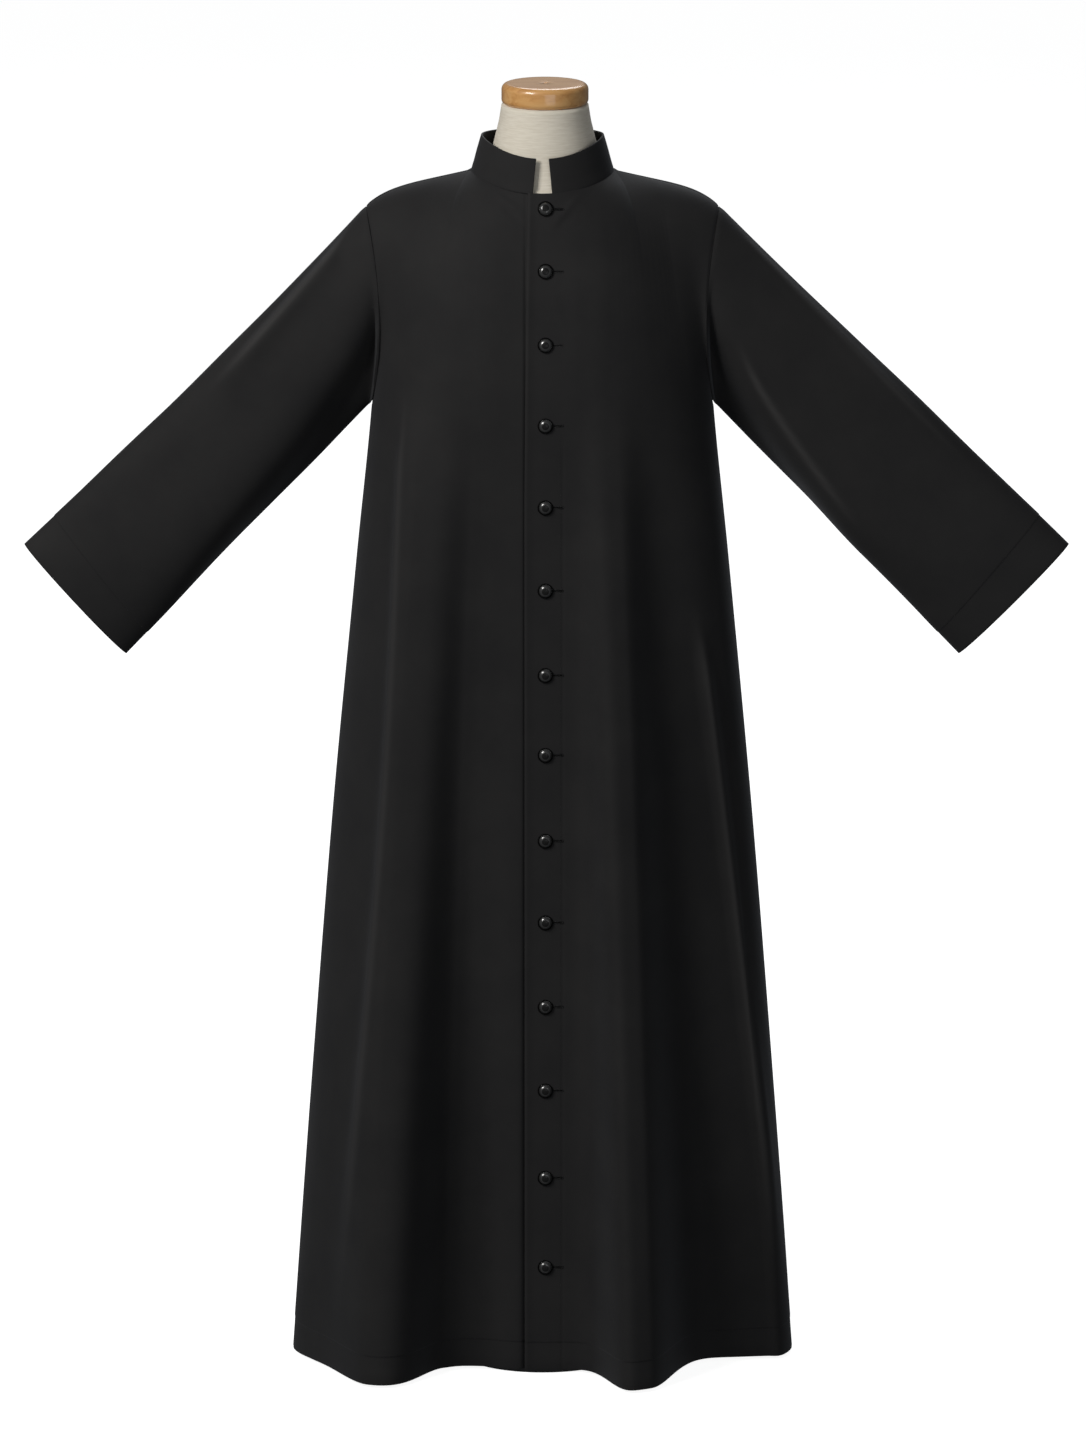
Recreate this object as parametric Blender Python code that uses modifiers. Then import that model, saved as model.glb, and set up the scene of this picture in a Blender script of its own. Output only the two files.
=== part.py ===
"""A buttoned cassock of black cloth, worn by a limbless dress form on a stand.

Metres, +Z up, +X towards the wearer's left, -Y towards the front. The origin is on the floor, under
the middle of the stand's base.
"""

import math
from collections import namedtuple

import bmesh
import bpy
from mathutils import Vector

# Cloth
WALL = 0.0015
COLLAR_WALL = 0.0025
SEAM_GAP = 0.0003
SIDE_SEAM_GAP = 0.0006
SHOULDER_SEAM_GAP = 0.0014
ARMHOLE_SEAM_GAP = 0.0013
SHOULDER_MITRE = 0.0008

# Heights of the garment
HEM_Z = 0.005
ARMPIT_Z = 1.191
FOLD_START_Z = 1.31
ARMPIT_ROW_DROP_FRONT = 0.090
ARMPIT_ROW_DROP_BACK = 0.070

# Plan of the body at six heights, without its folds: half its width, its front and back depths from
# the side seam, and how far its corners stand out, as a share of the radius
Section = namedtuple("Section", "height half_width front back corner")
SECTIONS = (
    Section(HEM_Z, 0.3084, 0.150, 0.170, 0.000),
    Section(0.350, 0.2831, 0.148, 0.150, 0.080),
    Section(0.700, 0.2551, 0.145, 0.132, 0.042),
    Section(1.000, 0.2263, 0.143, 0.119, 0.080),
    Section(ARMPIT_Z, 0.2070, 0.141, 0.117, 0.050),
    Section(1.300, 0.2020, 0.139, 0.117, 0.050),
)

# Folds that fan out from the chest to the hem. Place is the share of the half-width, the wearer's
# right negative. Depth is at the hem, and the widths are shares of the half-width too
Fold = namedtuple("Fold", "place depth width_to_right width_to_left")
FRONT_FOLDS = (
    Fold(-0.694, 0.0705, 0.096, 0.212),
    Fold(-0.389, -0.0615, 0.085, 0.268),
    Fold(0.034, -0.0500, 0.146, 0.120),
    Fold(0.431, 0.1140, 0.269, 0.085),
    Fold(0.545, -0.0627, 0.212, 0.261),
    Fold(1.040, 0.0292, 0.085, 0.085),
)
BACK_FOLDS = (
    Fold(-0.78, 0.040, 0.090, 0.110),
    Fold(-0.50, -0.035, 0.110, 0.110),
    Fold(-0.20, 0.055, 0.120, 0.110),
    Fold(0.10, -0.040, 0.110, 0.110),
    Fold(0.42, 0.060, 0.120, 0.120),
    Fold(0.70, -0.030, 0.090, 0.090),
)
FOLD_FADE_AT_SIDE = 0.10
FOLD_ONSET = 5
PLACKET_FLAT = (0.085, 0.40)

# Neck seam and collar: half-width, front and back depths from the side, and the heights there
Ring = namedtuple("Ring", "half_width front back front_z side_z back_z")
NECK_SEAM = Ring(0.0854, 0.085, 0.065, 1.4660, 1.4772, 1.4815)
COLLAR_TOP = Ring(0.0740, 0.075, 0.057, 1.5065, 1.5205, 1.5190)
COLLAR_GAP_BASE = 0.0230
COLLAR_GAP_TOP = 0.0150
COLLAR_BELLY = 0.0005
COLLAR_FIRST_TURN = 0.03

# Shoulder seam and armhole
SHOULDER_TIP = (0.2140, 0.005, 1.4315)
SHOULDER_SLOPE_DROP = 0.0300
ARMPIT_X = 0.2070
ARMHOLE_DIP = 0.0125
ARMHOLE_FRONT = 0.056
ARMHOLE_BACK = 0.052

# Yoke: how far the patch bulges, how soon it leaves the rows below and how far it reaches over at the
# top, at the centre and at the armhole
YOKE_BULGE = 1.06
TOP_REACH_CENTRE = 0.80
TOP_REACH_ARMHOLE = 0.62
ARMPIT_POWER = 6
ARMHOLE_POWER = 3
SHOULDER_POWER = 6
SLOPE_STEP = 0.02
SOFT_TOP_SPREAD = 0.24
SOFT_TOP_SAMPLES = 2
SOFT_TOP_POWER = 4
NORMAL_STEP = 0.004
TINY = 0.000001

# Sleeves
CUFF_Y = -0.002
CUFF_HALF_DEPTH = 0.0275
Sleeve = namedtuple("Sleeve", "cuff_x cuff_z half_length lean top_sag underside_sag")
LEFT_SLEEVE = Sleeve(0.5732, 0.9480, 0.0956, math.radians(44.4), 0.0028, 0.0030)
RIGHT_SLEEVE = Sleeve(0.5683, 0.9480, 0.0922, math.radians(42.2), 0.0080, 0.0030)
SLEEVE_FOLDS = 3
SLEEVE_FOLD_DEPTH = 0.0035
SLEEVE_FOLD_TWIST = 2.2

# Overlap of the fronts: half its width, and the cloth's step out or in there, which fades sideways
OVERLAP = 0.0218
OVERLAP_STEP = 0.0009
OVERLAP_FADE = (0.026, 0.062)

# Buttons: heights of their centres, their place across and the sizes of the turned dome
BUTTON_HEIGHTS = (
    1.4445, 1.3722, 1.2853, 1.1883, 1.0878, 0.9850, 0.8802,
    0.7808, 0.6738, 0.5715, 0.4655, 0.3600, 0.2495, 0.1360,
)
BUTTON_X = 0.0035
BUTTON_RADIUS = 0.0077
BUTTON_HEIGHT = 0.0052
BUTTON_EDGE = 0.0016
BUTTON_GAP = 0.0006
BUTTON_FOOT_SHARE = 0.9
BUTTON_SIDES = 14
BUTTON_DOME_STEPS = 3
HALVINGS = 40

# Grids
SKIRT_ROWS = 17
YOKE_ROWS = 11
YOKE_CLOSENESS = 1.35
FRONT_COLUMNS = 13
NECK_COLUMNS = 5
BACK_NECK_COLUMNS = 6
SLEEVE_ROWS = 10
COLLAR_ROWS = 3

# Dress form: its inset from the cloth, more at the chest, and the torso's rows below the armpits, as
# shares of the height to the armpit row and of the cloth's plan there
FORM_CLEARANCE = 0.0008
FORM_CHEST_EASE = 0.009
FORM_CHEST_FADE = 0.85
FORM_OVERLAP_FADE = 0.9
FORM_ARMHOLE_INSET = 0.013
FORM_INSET_START = 0.35
FORM_BOTTOM_Z = 0.800
WaistRow = namedtuple("WaistRow", "share width depth")
WAIST_ROWS = (
    WaistRow(0.00, 0.70, 0.76),
    WaistRow(0.12, 0.73, 0.79),
    WaistRow(0.30, 0.71, 0.77),
    WaistRow(0.50, 0.69, 0.75),
    WaistRow(0.70, 0.74, 0.80),
    WaistRow(0.86, 0.84, 0.87),
)
NECK_X = 0.003
NECK_Y = -0.006
NECK_FOOT_SHARE = 0.90
NECK_FOOT_RISE = 0.003
NeckRow = namedtuple("NeckRow", "height half_width half_depth")
NECK_ROWS = (
    NeckRow(1.4970, 0.0660, 0.0630),
    NeckRow(1.5160, 0.0610, 0.0600),
    NeckRow(1.5390, 0.0555, 0.0555),
    NeckRow(1.5580, 0.0525, 0.0525),
)

# Wooden cap
CAP_BOTTOM_Z = 1.5583
CAP_RADIUS = 0.0525
CAP_THICKNESS = 0.0255
CAP_TOP_ROUND = 0.0075
CAP_FOOT_ROUND = 0.0060
CAP_HOLE_RADIUS = 0.0025
CAP_HOLE_DEPTH = 0.012
CAP_STEPS = 32
CAP_ROUND_STEPS = 3

# Stand
POLE_RADIUS = 0.0140
POLE_FLANGE_RADIUS = 0.0550
POLE_FLANGE_THICKNESS = 0.0060
BASE_RADIUS = 0.105
BASE_THICKNESS = 0.012
BASE_BEVEL = 0.003
STAND_STEPS = 32
WELD = 0.00001

LEFT = 1
RIGHT = -1


def smooth(value):
    """A soft step from 0 to 1."""
    value = min(max(value, 0.0), 1.0)
    return value * value * (3 - 2 * value)


def mix(a, b, share):
    return a + (b - a) * share


def section_at(height):
    """The plan of the body at a height, read from the table along smooth curves."""
    rows = SECTIONS
    height = min(max(height, rows[0].height), rows[-1].height)
    k = 0
    while k < len(rows) - 2 and height > rows[k + 1].height:
        k += 1
    low, high = rows[k], rows[k + 1]
    before, after = rows[max(k - 1, 0)], rows[min(k + 2, len(rows) - 1)]
    run = high.height - low.height
    share = (height - low.height) / run
    values = []
    for column in range(1, len(Section._fields)):
        start = (high[column] - before[column]) / (high.height - before.height) * run
        end = (after[column] - low[column]) / (after.height - low.height) * run
        values.append(hermite(low[column], start, high[column], end, share))
    return Section(height, *values)


def hermite(start, start_slope, end, end_slope, share):
    """A cubic from start to end with these slopes at its ends."""
    square, cube = share * share, share ** 3
    return (
        start * (2 * cube - 3 * square + 1)
        + start_slope * (cube - 2 * square + share)
        + end * (3 * square - 2 * cube)
        + end_slope * (cube - square)
    )


def plan_point(column, height, back):
    """A point of the body's plan, without folds. column runs from 0 at the centre to 1 at the side."""
    section = section_at(height)
    turn = column * math.pi / 2
    out = 1 + section.corner * math.sin(2 * turn) ** 2
    depth = section.back if back else -section.front
    return Vector((section.half_width * math.sin(turn) * out, depth * math.cos(turn) * out, height))


def fold_depth(share, height, back):
    """How far the folds push the cloth out, share being the signed share of the half-width."""
    growth = (FOLD_START_Z - height) / (FOLD_START_Z - HEM_Z)
    if growth <= 0:
        return 0.0
    growth *= smooth(growth * FOLD_ONSET)
    share *= smooth((abs(share) - PLACKET_FLAT[0]) / (PLACKET_FLAT[1] - PLACKET_FLAT[0]))
    total = 0.0
    for fold in BACK_FOLDS if back else FRONT_FOLDS:
        away = share - fold.place
        width = fold.width_to_right if away < 0 else fold.width_to_left
        total += fold.depth * math.exp(-0.5 * (away / width) ** 2)
    return total * growth * smooth((1 - abs(share)) / FOLD_FADE_AT_SIDE)


def row_height(column, skirt_share, back):
    """The height of a skirt row, which dips from the armpit towards the centre."""
    drop = ARMPIT_ROW_DROP_BACK if back else ARMPIT_ROW_DROP_FRONT
    top = ARMPIT_Z - drop * math.sin(math.pi / 2 * (1 - column))
    return mix(HEM_Z, top, skirt_share)


def ring_point(ring, turn):
    """A point of the neck seam or of the collar's top, turn being 0 at the front and pi at the back."""
    front = math.cos(turn) > 0
    depth = ring.front if front else ring.back
    end_z = ring.front_z if front else ring.back_z
    z = mix(ring.side_z, end_z, math.cos(turn) ** 2)
    return Vector((ring.half_width * math.sin(turn), -depth * math.cos(turn), z))


def shoulder_point(share):
    """A point of the shoulder seam, from the neck to the tip, which rounds off at its end."""
    neck = ring_point(NECK_SEAM, math.pi / 2)
    tip = Vector(SHOULDER_TIP)
    end_drop = neck.z - tip.z - SHOULDER_SLOPE_DROP
    z = neck.z - SHOULDER_SLOPE_DROP * share - end_drop * share ** SHOULDER_POWER
    return Vector((mix(neck.x, tip.x, share), mix(neck.y, tip.y, share), z))


def armhole_point(turn, back):
    """A point of the armhole seam, turn being 0 at the shoulder and pi at the armpit."""
    tip = Vector(SHOULDER_TIP)
    down = (1 - math.cos(turn)) / 2
    reach = ARMHOLE_BACK if back else -ARMHOLE_FRONT
    x = mix(tip.x, ARMPIT_X, down) - ARMHOLE_DIP * math.sin(turn) ** 2
    y = mix(tip.y, 0.0, down) + reach * math.sin(turn)
    return Vector((x, y, mix(tip.z, ARMPIT_Z, down)))


def overlap_column(height):
    """The column at which the overlap ends, at this height of the skirt."""
    return math.asin(OVERLAP / section_at(height).half_width) * 2 / math.pi


NECK_OVERLAP_COLUMN = 0.055
NECK_SHARE = NECK_OVERLAP_COLUMN + (1 - NECK_OVERLAP_COLUMN) * NECK_COLUMNS / FRONT_COLUMNS


def top_point(column, back):
    """A point of a panel's top edge: the neck seam, then the shoulder seam."""
    if column <= NECK_SHARE:
        turn = column / NECK_SHARE * math.pi / 2
        return ring_point(NECK_SEAM, math.pi - turn if back else turn)
    return shoulder_point((column - NECK_SHARE) / (1 - NECK_SHARE))


def soft_top_point(column, back):
    """The top edge with its corner at the neck's side rounded off."""
    spread = SOFT_TOP_SPREAD * math.sin(math.pi * column)
    steps = range(-SOFT_TOP_SAMPLES, SOFT_TOP_SAMPLES + 1)
    points = [top_point(column + spread * k / SOFT_TOP_SAMPLES, back) for k in steps]
    return sum(points, Vector()) / len(points)


# Direction in which the cloth arrives at its top edge, at the centre, the neck's side and the tip
Arrival = namedtuple("Arrival", "centre neck_side tip")
FRONT_ARRIVAL = Arrival((0.0, 0.42, 0.91), (-0.40, 0.88, 0.22), (0.0, 0.99, 0.02))
BACK_ARRIVAL = Arrival((0.0, -0.45, 0.89), (-0.40, -0.88, 0.22), (0.0, -0.99, 0.02))


def top_direction(column, back):
    arrival = BACK_ARRIVAL if back else FRONT_ARRIVAL
    if column <= NECK_SHARE:
        way = Vector(arrival.centre).lerp(Vector(arrival.neck_side), smooth(column / NECK_SHARE))
    else:
        share = (column - NECK_SHARE) / (1 - NECK_SHARE)
        way = Vector(arrival.neck_side).lerp(Vector(arrival.tip), smooth(share))
    return way.normalized()


def hermite_point(start, start_way, end, end_way, share):
    return Vector(tuple(hermite(*values, share) for values in zip(start, start_way, end, end_way)))


def yoke_point(column, share, back):
    """A point above the armpit row, on a patch between that row, the top edge and the armhole."""
    low_z = row_height(column, 1.0, back)
    start = plan_point(column, low_z, back)
    end = soft_top_point(column, back).lerp(top_point(column, back), share ** SOFT_TOP_POWER)
    length = (top_point(column, back) - start).length * YOKE_BULGE
    up = (start - plan_point(column, low_z - SLOPE_STEP, back)).normalized() * length
    reach = ARMHOLE_BACK if back else -ARMHOLE_FRONT
    round_armpit = Vector((0, math.pi * reach, 0))
    up = up.lerp(round_armpit, column ** ARMPIT_POWER)
    over = top_direction(column, back) * length * mix(TOP_REACH_CENTRE, TOP_REACH_ARMHOLE, column)
    point = hermite_point(start, up, end, over, share)
    if column > 0:
        edge_start, edge_end = plan_point(1, ARMPIT_Z, back), top_point(1, back)
        edge_length = (edge_end - edge_start).length * YOKE_BULGE
        edge_over = top_direction(1, back) * edge_length * TOP_REACH_ARMHOLE
        patch_edge = hermite_point(edge_start, round_armpit, edge_end, edge_over, share)
        seam = armhole_point(math.pi * (1 - share), back)
        point += (seam - patch_edge) * column ** ARMHOLE_POWER
    return point


def body_point(column, row, back=False):
    """An outer point of the garment's body. Columns below 0 cross the centre line, and row runs from
    0 at the hem to 1 at the armpit row and 2 at the top edge."""
    across = abs(column)
    if row <= 1:
        height = row_height(across, row, back)
        point = plan_point(across, height, back)
    else:
        point = yoke_point(across, row - 1, back)
    if column < 0:
        point.x = -point.x
    return point


def surface(column, row, back=False):
    """An outer point of the body with its folds."""
    point = body_point(column, row, back)
    share = point.x / section_at(point.z).half_width
    push = fold_depth(share, point.z, back)
    point.y += push if back else -push
    return point


def outward(function, column, row, back):
    """The outward direction of a surface function at a column and row."""
    low_row, high_row = max(row - NORMAL_STEP, 0), min(row + NORMAL_STEP, 2)
    low_column, high_column = max(column - NORMAL_STEP, -1), min(column + NORMAL_STEP, 1)
    across = function(high_column, row, back) - function(low_column, row, back)
    up = function(column, high_row, back) - function(column, low_row, back)
    normal = across.cross(up).normalized()
    return -normal if back else normal


def front_columns(row):
    """Columns of a front: two across the overlap, then even ones to the side."""
    if row <= 1:
        edge = overlap_column(row_height(0, row, False))
    else:
        edge = mix(overlap_column(row_height(0, 1, False)), NECK_OVERLAP_COLUMN, smooth(row - 1))
    return [-edge, 0.0] + [mix(edge, 1.0, k / FRONT_COLUMNS) for k in range(FRONT_COLUMNS + 1)]


def half_back_columns():
    """Columns of half the back, with one at the neck's side."""
    neck = [NECK_SHARE * k / BACK_NECK_COLUMNS for k in range(BACK_NECK_COLUMNS)]
    shoulder_columns = FRONT_COLUMNS - NECK_COLUMNS
    return neck + [mix(NECK_SHARE, 1, k / shoulder_columns) for k in range(shoulder_columns + 1)]


def yoke_rows():
    """Rows from the armpit to the shoulder, closer together towards the top."""
    return [2 - (1 - k / YOKE_ROWS) ** YOKE_CLOSENESS for k in range(YOKE_ROWS + 1)]


def all_rows():
    return [k / SKIRT_ROWS for k in range(SKIRT_ROWS)] + yoke_rows()


def front_points(side):
    """Outer points of one front, a list of rows. The wearer's left front lies over the right one."""
    step = OVERLAP_STEP if side == LEFT else -OVERLAP_STEP
    points = []
    for row in all_rows():
        line = []
        for column in front_columns(row):
            point = surface(column * side, row)
            fade = 1 - smooth((point.x * side - OVERLAP_FADE[0]) / (OVERLAP_FADE[1] - OVERLAP_FADE[0]))
            if fade > 0:
                point += outward(surface, column * side, row, False) * step * fade
            line.append(point)
        points.append(line)
    trim_edges(points, first_is_seam=False)
    return points


def back_points():
    """Outer points of the back, from the wearer's right side to the left."""
    half = half_back_columns()
    columns = [-column for column in reversed(half[1:])] + half
    points = [[surface(column, row, True) for column in columns] for row in all_rows()]
    trim_edges(points, first_is_seam=True)
    return points


def pulled(edge, inner, along, distance):
    """The edge point moved into its panel, square to the edge, along being the edge's direction."""
    along = along.normalized()
    way = inner - edge
    way -= along * way.dot(along)
    return edge + way.normalized() * distance


def trimmed(edges, inners, gaps):
    """The points of a panel's edge, each moved into the panel by its share of the seam's gap."""
    last = len(edges) - 1
    moved = []
    for k, (edge, inner, gap) in enumerate(zip(edges, inners, gaps)):
        along = edges[min(k + 1, last)] - edges[max(k - 1, 0)]
        moved.append(pulled(edge, inner, along, gap / 2))
    return moved


def trim_edges(points, first_is_seam):
    """Leaves the seams' gaps along the sides and the shoulders."""
    gaps = [SIDE_SEAM_GAP if k <= SKIRT_ROWS else ARMHOLE_SEAM_GAP for k in range(len(points))]
    top = trimmed(points[-1], points[-2], [SHOULDER_SEAM_GAP] * len(points[-1]))
    for end, inner in ((-1, -2), (0, 1)) if first_is_seam else ((-1, -2),):
        edge = trimmed([line[end] for line in points], [line[inner] for line in points], gaps)
        top[end] += edge[-1] - points[-1][end]
        for line, point in zip(points, edge):
            line[end] = point
    points[-1] = top


def neck_turns():
    """Turns of the neck seam at which the fronts and the back have their points, front to back."""
    front = [c for c in front_columns(2) if 0 < c <= NECK_SHARE + TINY]
    turns = [c / NECK_SHARE * math.pi / 2 for c in front]
    back_steps = range(1, BACK_NECK_COLUMNS + 1)
    return turns + [math.pi / 2 * (1 + k / BACK_NECK_COLUMNS) for k in back_steps]


def collar_point(turn, share):
    """An outer point of the collar, turn signed for its side, share running up its height."""
    base = ring_point(NECK_SEAM, abs(turn))
    base.z += SEAM_GAP
    top = ring_point(COLLAR_TOP, abs(turn))
    point = base.lerp(top, share)
    belly = COLLAR_BELLY * math.sin(math.pi * share)
    point += Vector((math.sin(turn) if turn > 0 else -math.sin(turn), -math.cos(turn), 0)) * belly
    if turn < 0:
        point.x = -point.x
    return point


def sleeve_turns():
    """Turns about the armhole at which the body's rows end, so that the seam's two edges match."""
    front = [math.pi * (2 - row) for row in reversed(yoke_rows())]
    return front + [2 * math.pi - turn for turn in reversed(front[:-1])]


def sleeve_point(turn, share, side):
    """An outer point of a sleeve. turn is 0 at the top, rising over the front, and share runs from
    the armhole to the cuff."""
    sleeve = LEFT_SLEEVE if side == LEFT else RIGHT_SLEEVE
    back = turn > math.pi
    start = armhole_point(2 * math.pi - turn if back else turn, back)
    long_way = Vector((math.sin(sleeve.lean), 0, math.cos(sleeve.lean)))
    end = Vector((sleeve.cuff_x, CUFF_Y, sleeve.cuff_z))
    end += long_way * sleeve.half_length * math.cos(turn)
    end.y -= CUFF_HALF_DEPTH * math.sin(turn)
    point = start.lerp(end, share)
    hang = math.sin(math.pi * share)
    outward = Vector((math.cos(turn) * long_way.x, -math.sin(turn), math.cos(turn) * long_way.z))
    point += outward * SLEEVE_FOLD_DEPTH * hang * math.sin(SLEEVE_FOLDS * turn + SLEEVE_FOLD_TWIST * share)
    point -= long_way * hang * mix(sleeve.underside_sag, sleeve.top_sag, max(math.cos(turn), 0))
    mitre = ARMHOLE_SEAM_GAP / 2 + SHOULDER_MITRE * max(math.cos(turn), 0)
    along = (end - start).normalized()
    point += along * mitre * (1 - share)
    point.x *= side
    return point


def new_object(name, mesh, material):
    obj = bpy.data.objects.new(name, mesh)
    obj.data.materials.append(material)
    parts.objects.link(obj)
    return obj


def add_grid(bm, points):
    """Adds a grid to the mesh, its vertices moved onto the points, a list of rows."""
    rows, columns = len(points) - 1, len(points[0]) - 1
    made = bmesh.ops.create_grid(bm, x_segments=columns, y_segments=rows, size=1)
    for vertex in made["verts"]:
        column = round((vertex.co.x + 1) / 2 * columns)
        row = round((vertex.co.y + 1) / 2 * rows)
        vertex.co = points[row][column]


def bent_grid(name, points, material, flip=False):
    """An object of one grid, welded where its first and last columns meet."""
    mesh = bpy.data.meshes.new(name)
    bm = bmesh.new()
    add_grid(bm, points)
    bmesh.ops.remove_doubles(bm, verts=bm.verts, dist=WELD)
    if flip:
        bmesh.ops.reverse_faces(bm, faces=bm.faces)
    bm.to_mesh(mesh)
    bm.free()
    mesh.shade_smooth()
    return new_object(name, mesh, material)


def add_wall(obj, thickness):
    """Thickens an open surface inwards into a wall."""
    wall = obj.modifiers.new("Wall", "SOLIDIFY")
    wall.thickness = thickness
    wall.offset = -1
    wall.use_even_offset = True
    wall.thickness_clamp = 1.0


def turned(name, profile, steps, material):
    """A solid turned about Z from a profile of radius and height, given from its top down."""
    mesh = bpy.data.meshes.new(name)
    bm = bmesh.new()
    previous = None
    for radius, height in profile:
        vertex = bm.verts.new((radius, 0, height))
        if previous:
            bm.edges.new((previous, vertex))
        previous = vertex
    bm.to_mesh(mesh)
    bm.free()
    obj = new_object(name, mesh, material)
    screw = obj.modifiers.new("Turn", "SCREW")
    screw.steps = steps
    screw.render_steps = steps
    screw.use_merge_vertices = True
    screw.merge_threshold = WELD
    return obj


def make_fronts(cloth):
    for name, side in (("front_left", LEFT), ("front_right", RIGHT)):
        add_wall(bent_grid(name, front_points(side), cloth, flip=side == RIGHT), WALL)


def make_back(cloth):
    add_wall(bent_grid("back", back_points(), cloth, flip=True), WALL)


def make_sleeves(cloth):
    for name, side in (("sleeve_left", LEFT), ("sleeve_right", RIGHT)):
        points = []
        for row in range(SLEEVE_ROWS + 1):
            points.append([sleeve_point(turn, row / SLEEVE_ROWS, side) for turn in sleeve_turns()])
        add_wall(bent_grid(name, points, cloth, flip=side == RIGHT), WALL)


def make_collar(cloth):
    turns = neck_turns()
    rows = []
    for row in range(COLLAR_ROWS + 1):
        share = row / COLLAR_ROWS
        half_gap = mix(COLLAR_GAP_BASE, COLLAR_GAP_TOP, share) / 2
        radius = mix(NECK_SEAM.half_width, COLLAR_TOP.half_width, share)
        first = math.asin(half_gap / radius)
        half = [first] + [turn for turn in turns if turn > first + COLLAR_FIRST_TURN]
        rows.append((share, half))
    count = min(len(half) for _, half in rows)
    points = []
    for share, half in rows:
        half = [half[0]] + half[-(count - 1):]
        left = [collar_point(turn, share) for turn in half]
        right = [collar_point(-turn, share) for turn in reversed(half[:-1])]
        points.append(left + right)
    add_wall(bent_grid("collar", points, cloth), COLLAR_WALL)


def row_at(height):
    """The row at which the centre front has this height."""
    low, high = 0.0, 2.0
    for _ in range(HALVINGS):
        middle = (low + high) / 2
        if body_point(0, middle).z < height:
            low = middle
        else:
            high = middle
    return low


def make_buttons(gloss):
    radius, edge = BUTTON_RADIUS, BUTTON_EDGE
    dome = BUTTON_HEIGHT - edge
    profile = [(0.0, BUTTON_HEIGHT)]
    for k in range(1, BUTTON_DOME_STEPS + 1):
        turn = math.pi / 2 * k / BUTTON_DOME_STEPS
        profile.append((radius * math.sin(turn), edge + dome * math.cos(turn)))
    profile += [(radius * BUTTON_FOOT_SHARE, 0.0), (0.0, 0.0)]
    for number, height in enumerate(BUTTON_HEIGHTS, start=1):
        button = turned(f"button_{number:02d}", profile, BUTTON_SIDES, gloss)
        row = row_at(height)
        column = BUTTON_X / section_at(height).half_width * 2 / math.pi
        way = outward(surface, column, row, False)
        place = surface(column, row) + way * (OVERLAP_STEP + BUTTON_GAP)
        button.location = place
        button.rotation_mode = "QUATERNION"
        button.rotation_quaternion = way.to_track_quat("Z", "Y")


def form_columns(row, back):
    """Columns of half the form, every other one of the cloth's, with the neck's side and the armhole."""
    if back:
        return half_back_columns()[::2]
    even = front_columns(row)[2:]
    return [0.0] + even[1::2]


def form_line(row, back):
    """Half of the form's front or back under a yoke row, from the centre to the armhole."""
    line = []
    for column in form_columns(row, back):
        ease = FORM_CHEST_EASE * (1 - smooth((row - 1) / FORM_CHEST_FADE))
        ease += OVERLAP_STEP * (1 - smooth(column / NECK_SHARE * FORM_OVERLAP_FADE))
        way = outward(body_point, column, row, back)
        point = body_point(column, row, back) - way * (WALL + FORM_CLEARANCE + ease)
        point.x -= FORM_ARMHOLE_INSET * smooth((column - FORM_INSET_START) / (1 - FORM_INSET_START))
        line.append(point)
    return line


def waist_line(form_row, back):
    """Half of the form's front or back below the armpits."""
    line = []
    for column in form_columns(1, back):
        height = mix(FORM_BOTTOM_Z, row_height(column, 1, back), form_row.share)
        point = plan_point(column, height, back)
        line.append(Vector((point.x * form_row.width, point.y * form_row.depth, height)))
    return line


def ring_of(front, back):
    """A closed ring from half a front and half a back line, mirrored."""
    half = front + list(reversed(back))
    other = [Vector((-point.x, point.y, point.z)) for point in reversed(half)]
    return half + other + [half[0]]


def neck_foot(front, back):
    """The ring at the foot of the neck, just inside the collar."""
    halves = []
    for line, is_back in ((front, False), (back, True)):
        half = []
        for column in line:
            turn = column / NECK_SHARE * math.pi / 2
            point = ring_point(NECK_SEAM, math.pi - turn if is_back else turn)
            z = point.z + NECK_FOOT_RISE
            half.append(Vector((point.x * NECK_FOOT_SHARE, point.y * NECK_FOOT_SHARE, z)))
        halves.append(half)
    return ring_of(*halves)


def neck_ring(form_row, front, back):
    """A ring of the neck, with a point for each point of the neck seam."""
    halves = []
    for line, is_back in ((front, False), (back, True)):
        half = []
        for column in line:
            turn = column / NECK_SHARE * math.pi / 2
            y = form_row.half_depth * math.cos(turn) * (1 if is_back else -1)
            half.append(Vector((form_row.half_width * math.sin(turn), NECK_Y + y, form_row.height)))
        halves.append(half)
    return [point + Vector((NECK_X, 0, 0)) for point in ring_of(*halves)]


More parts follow.
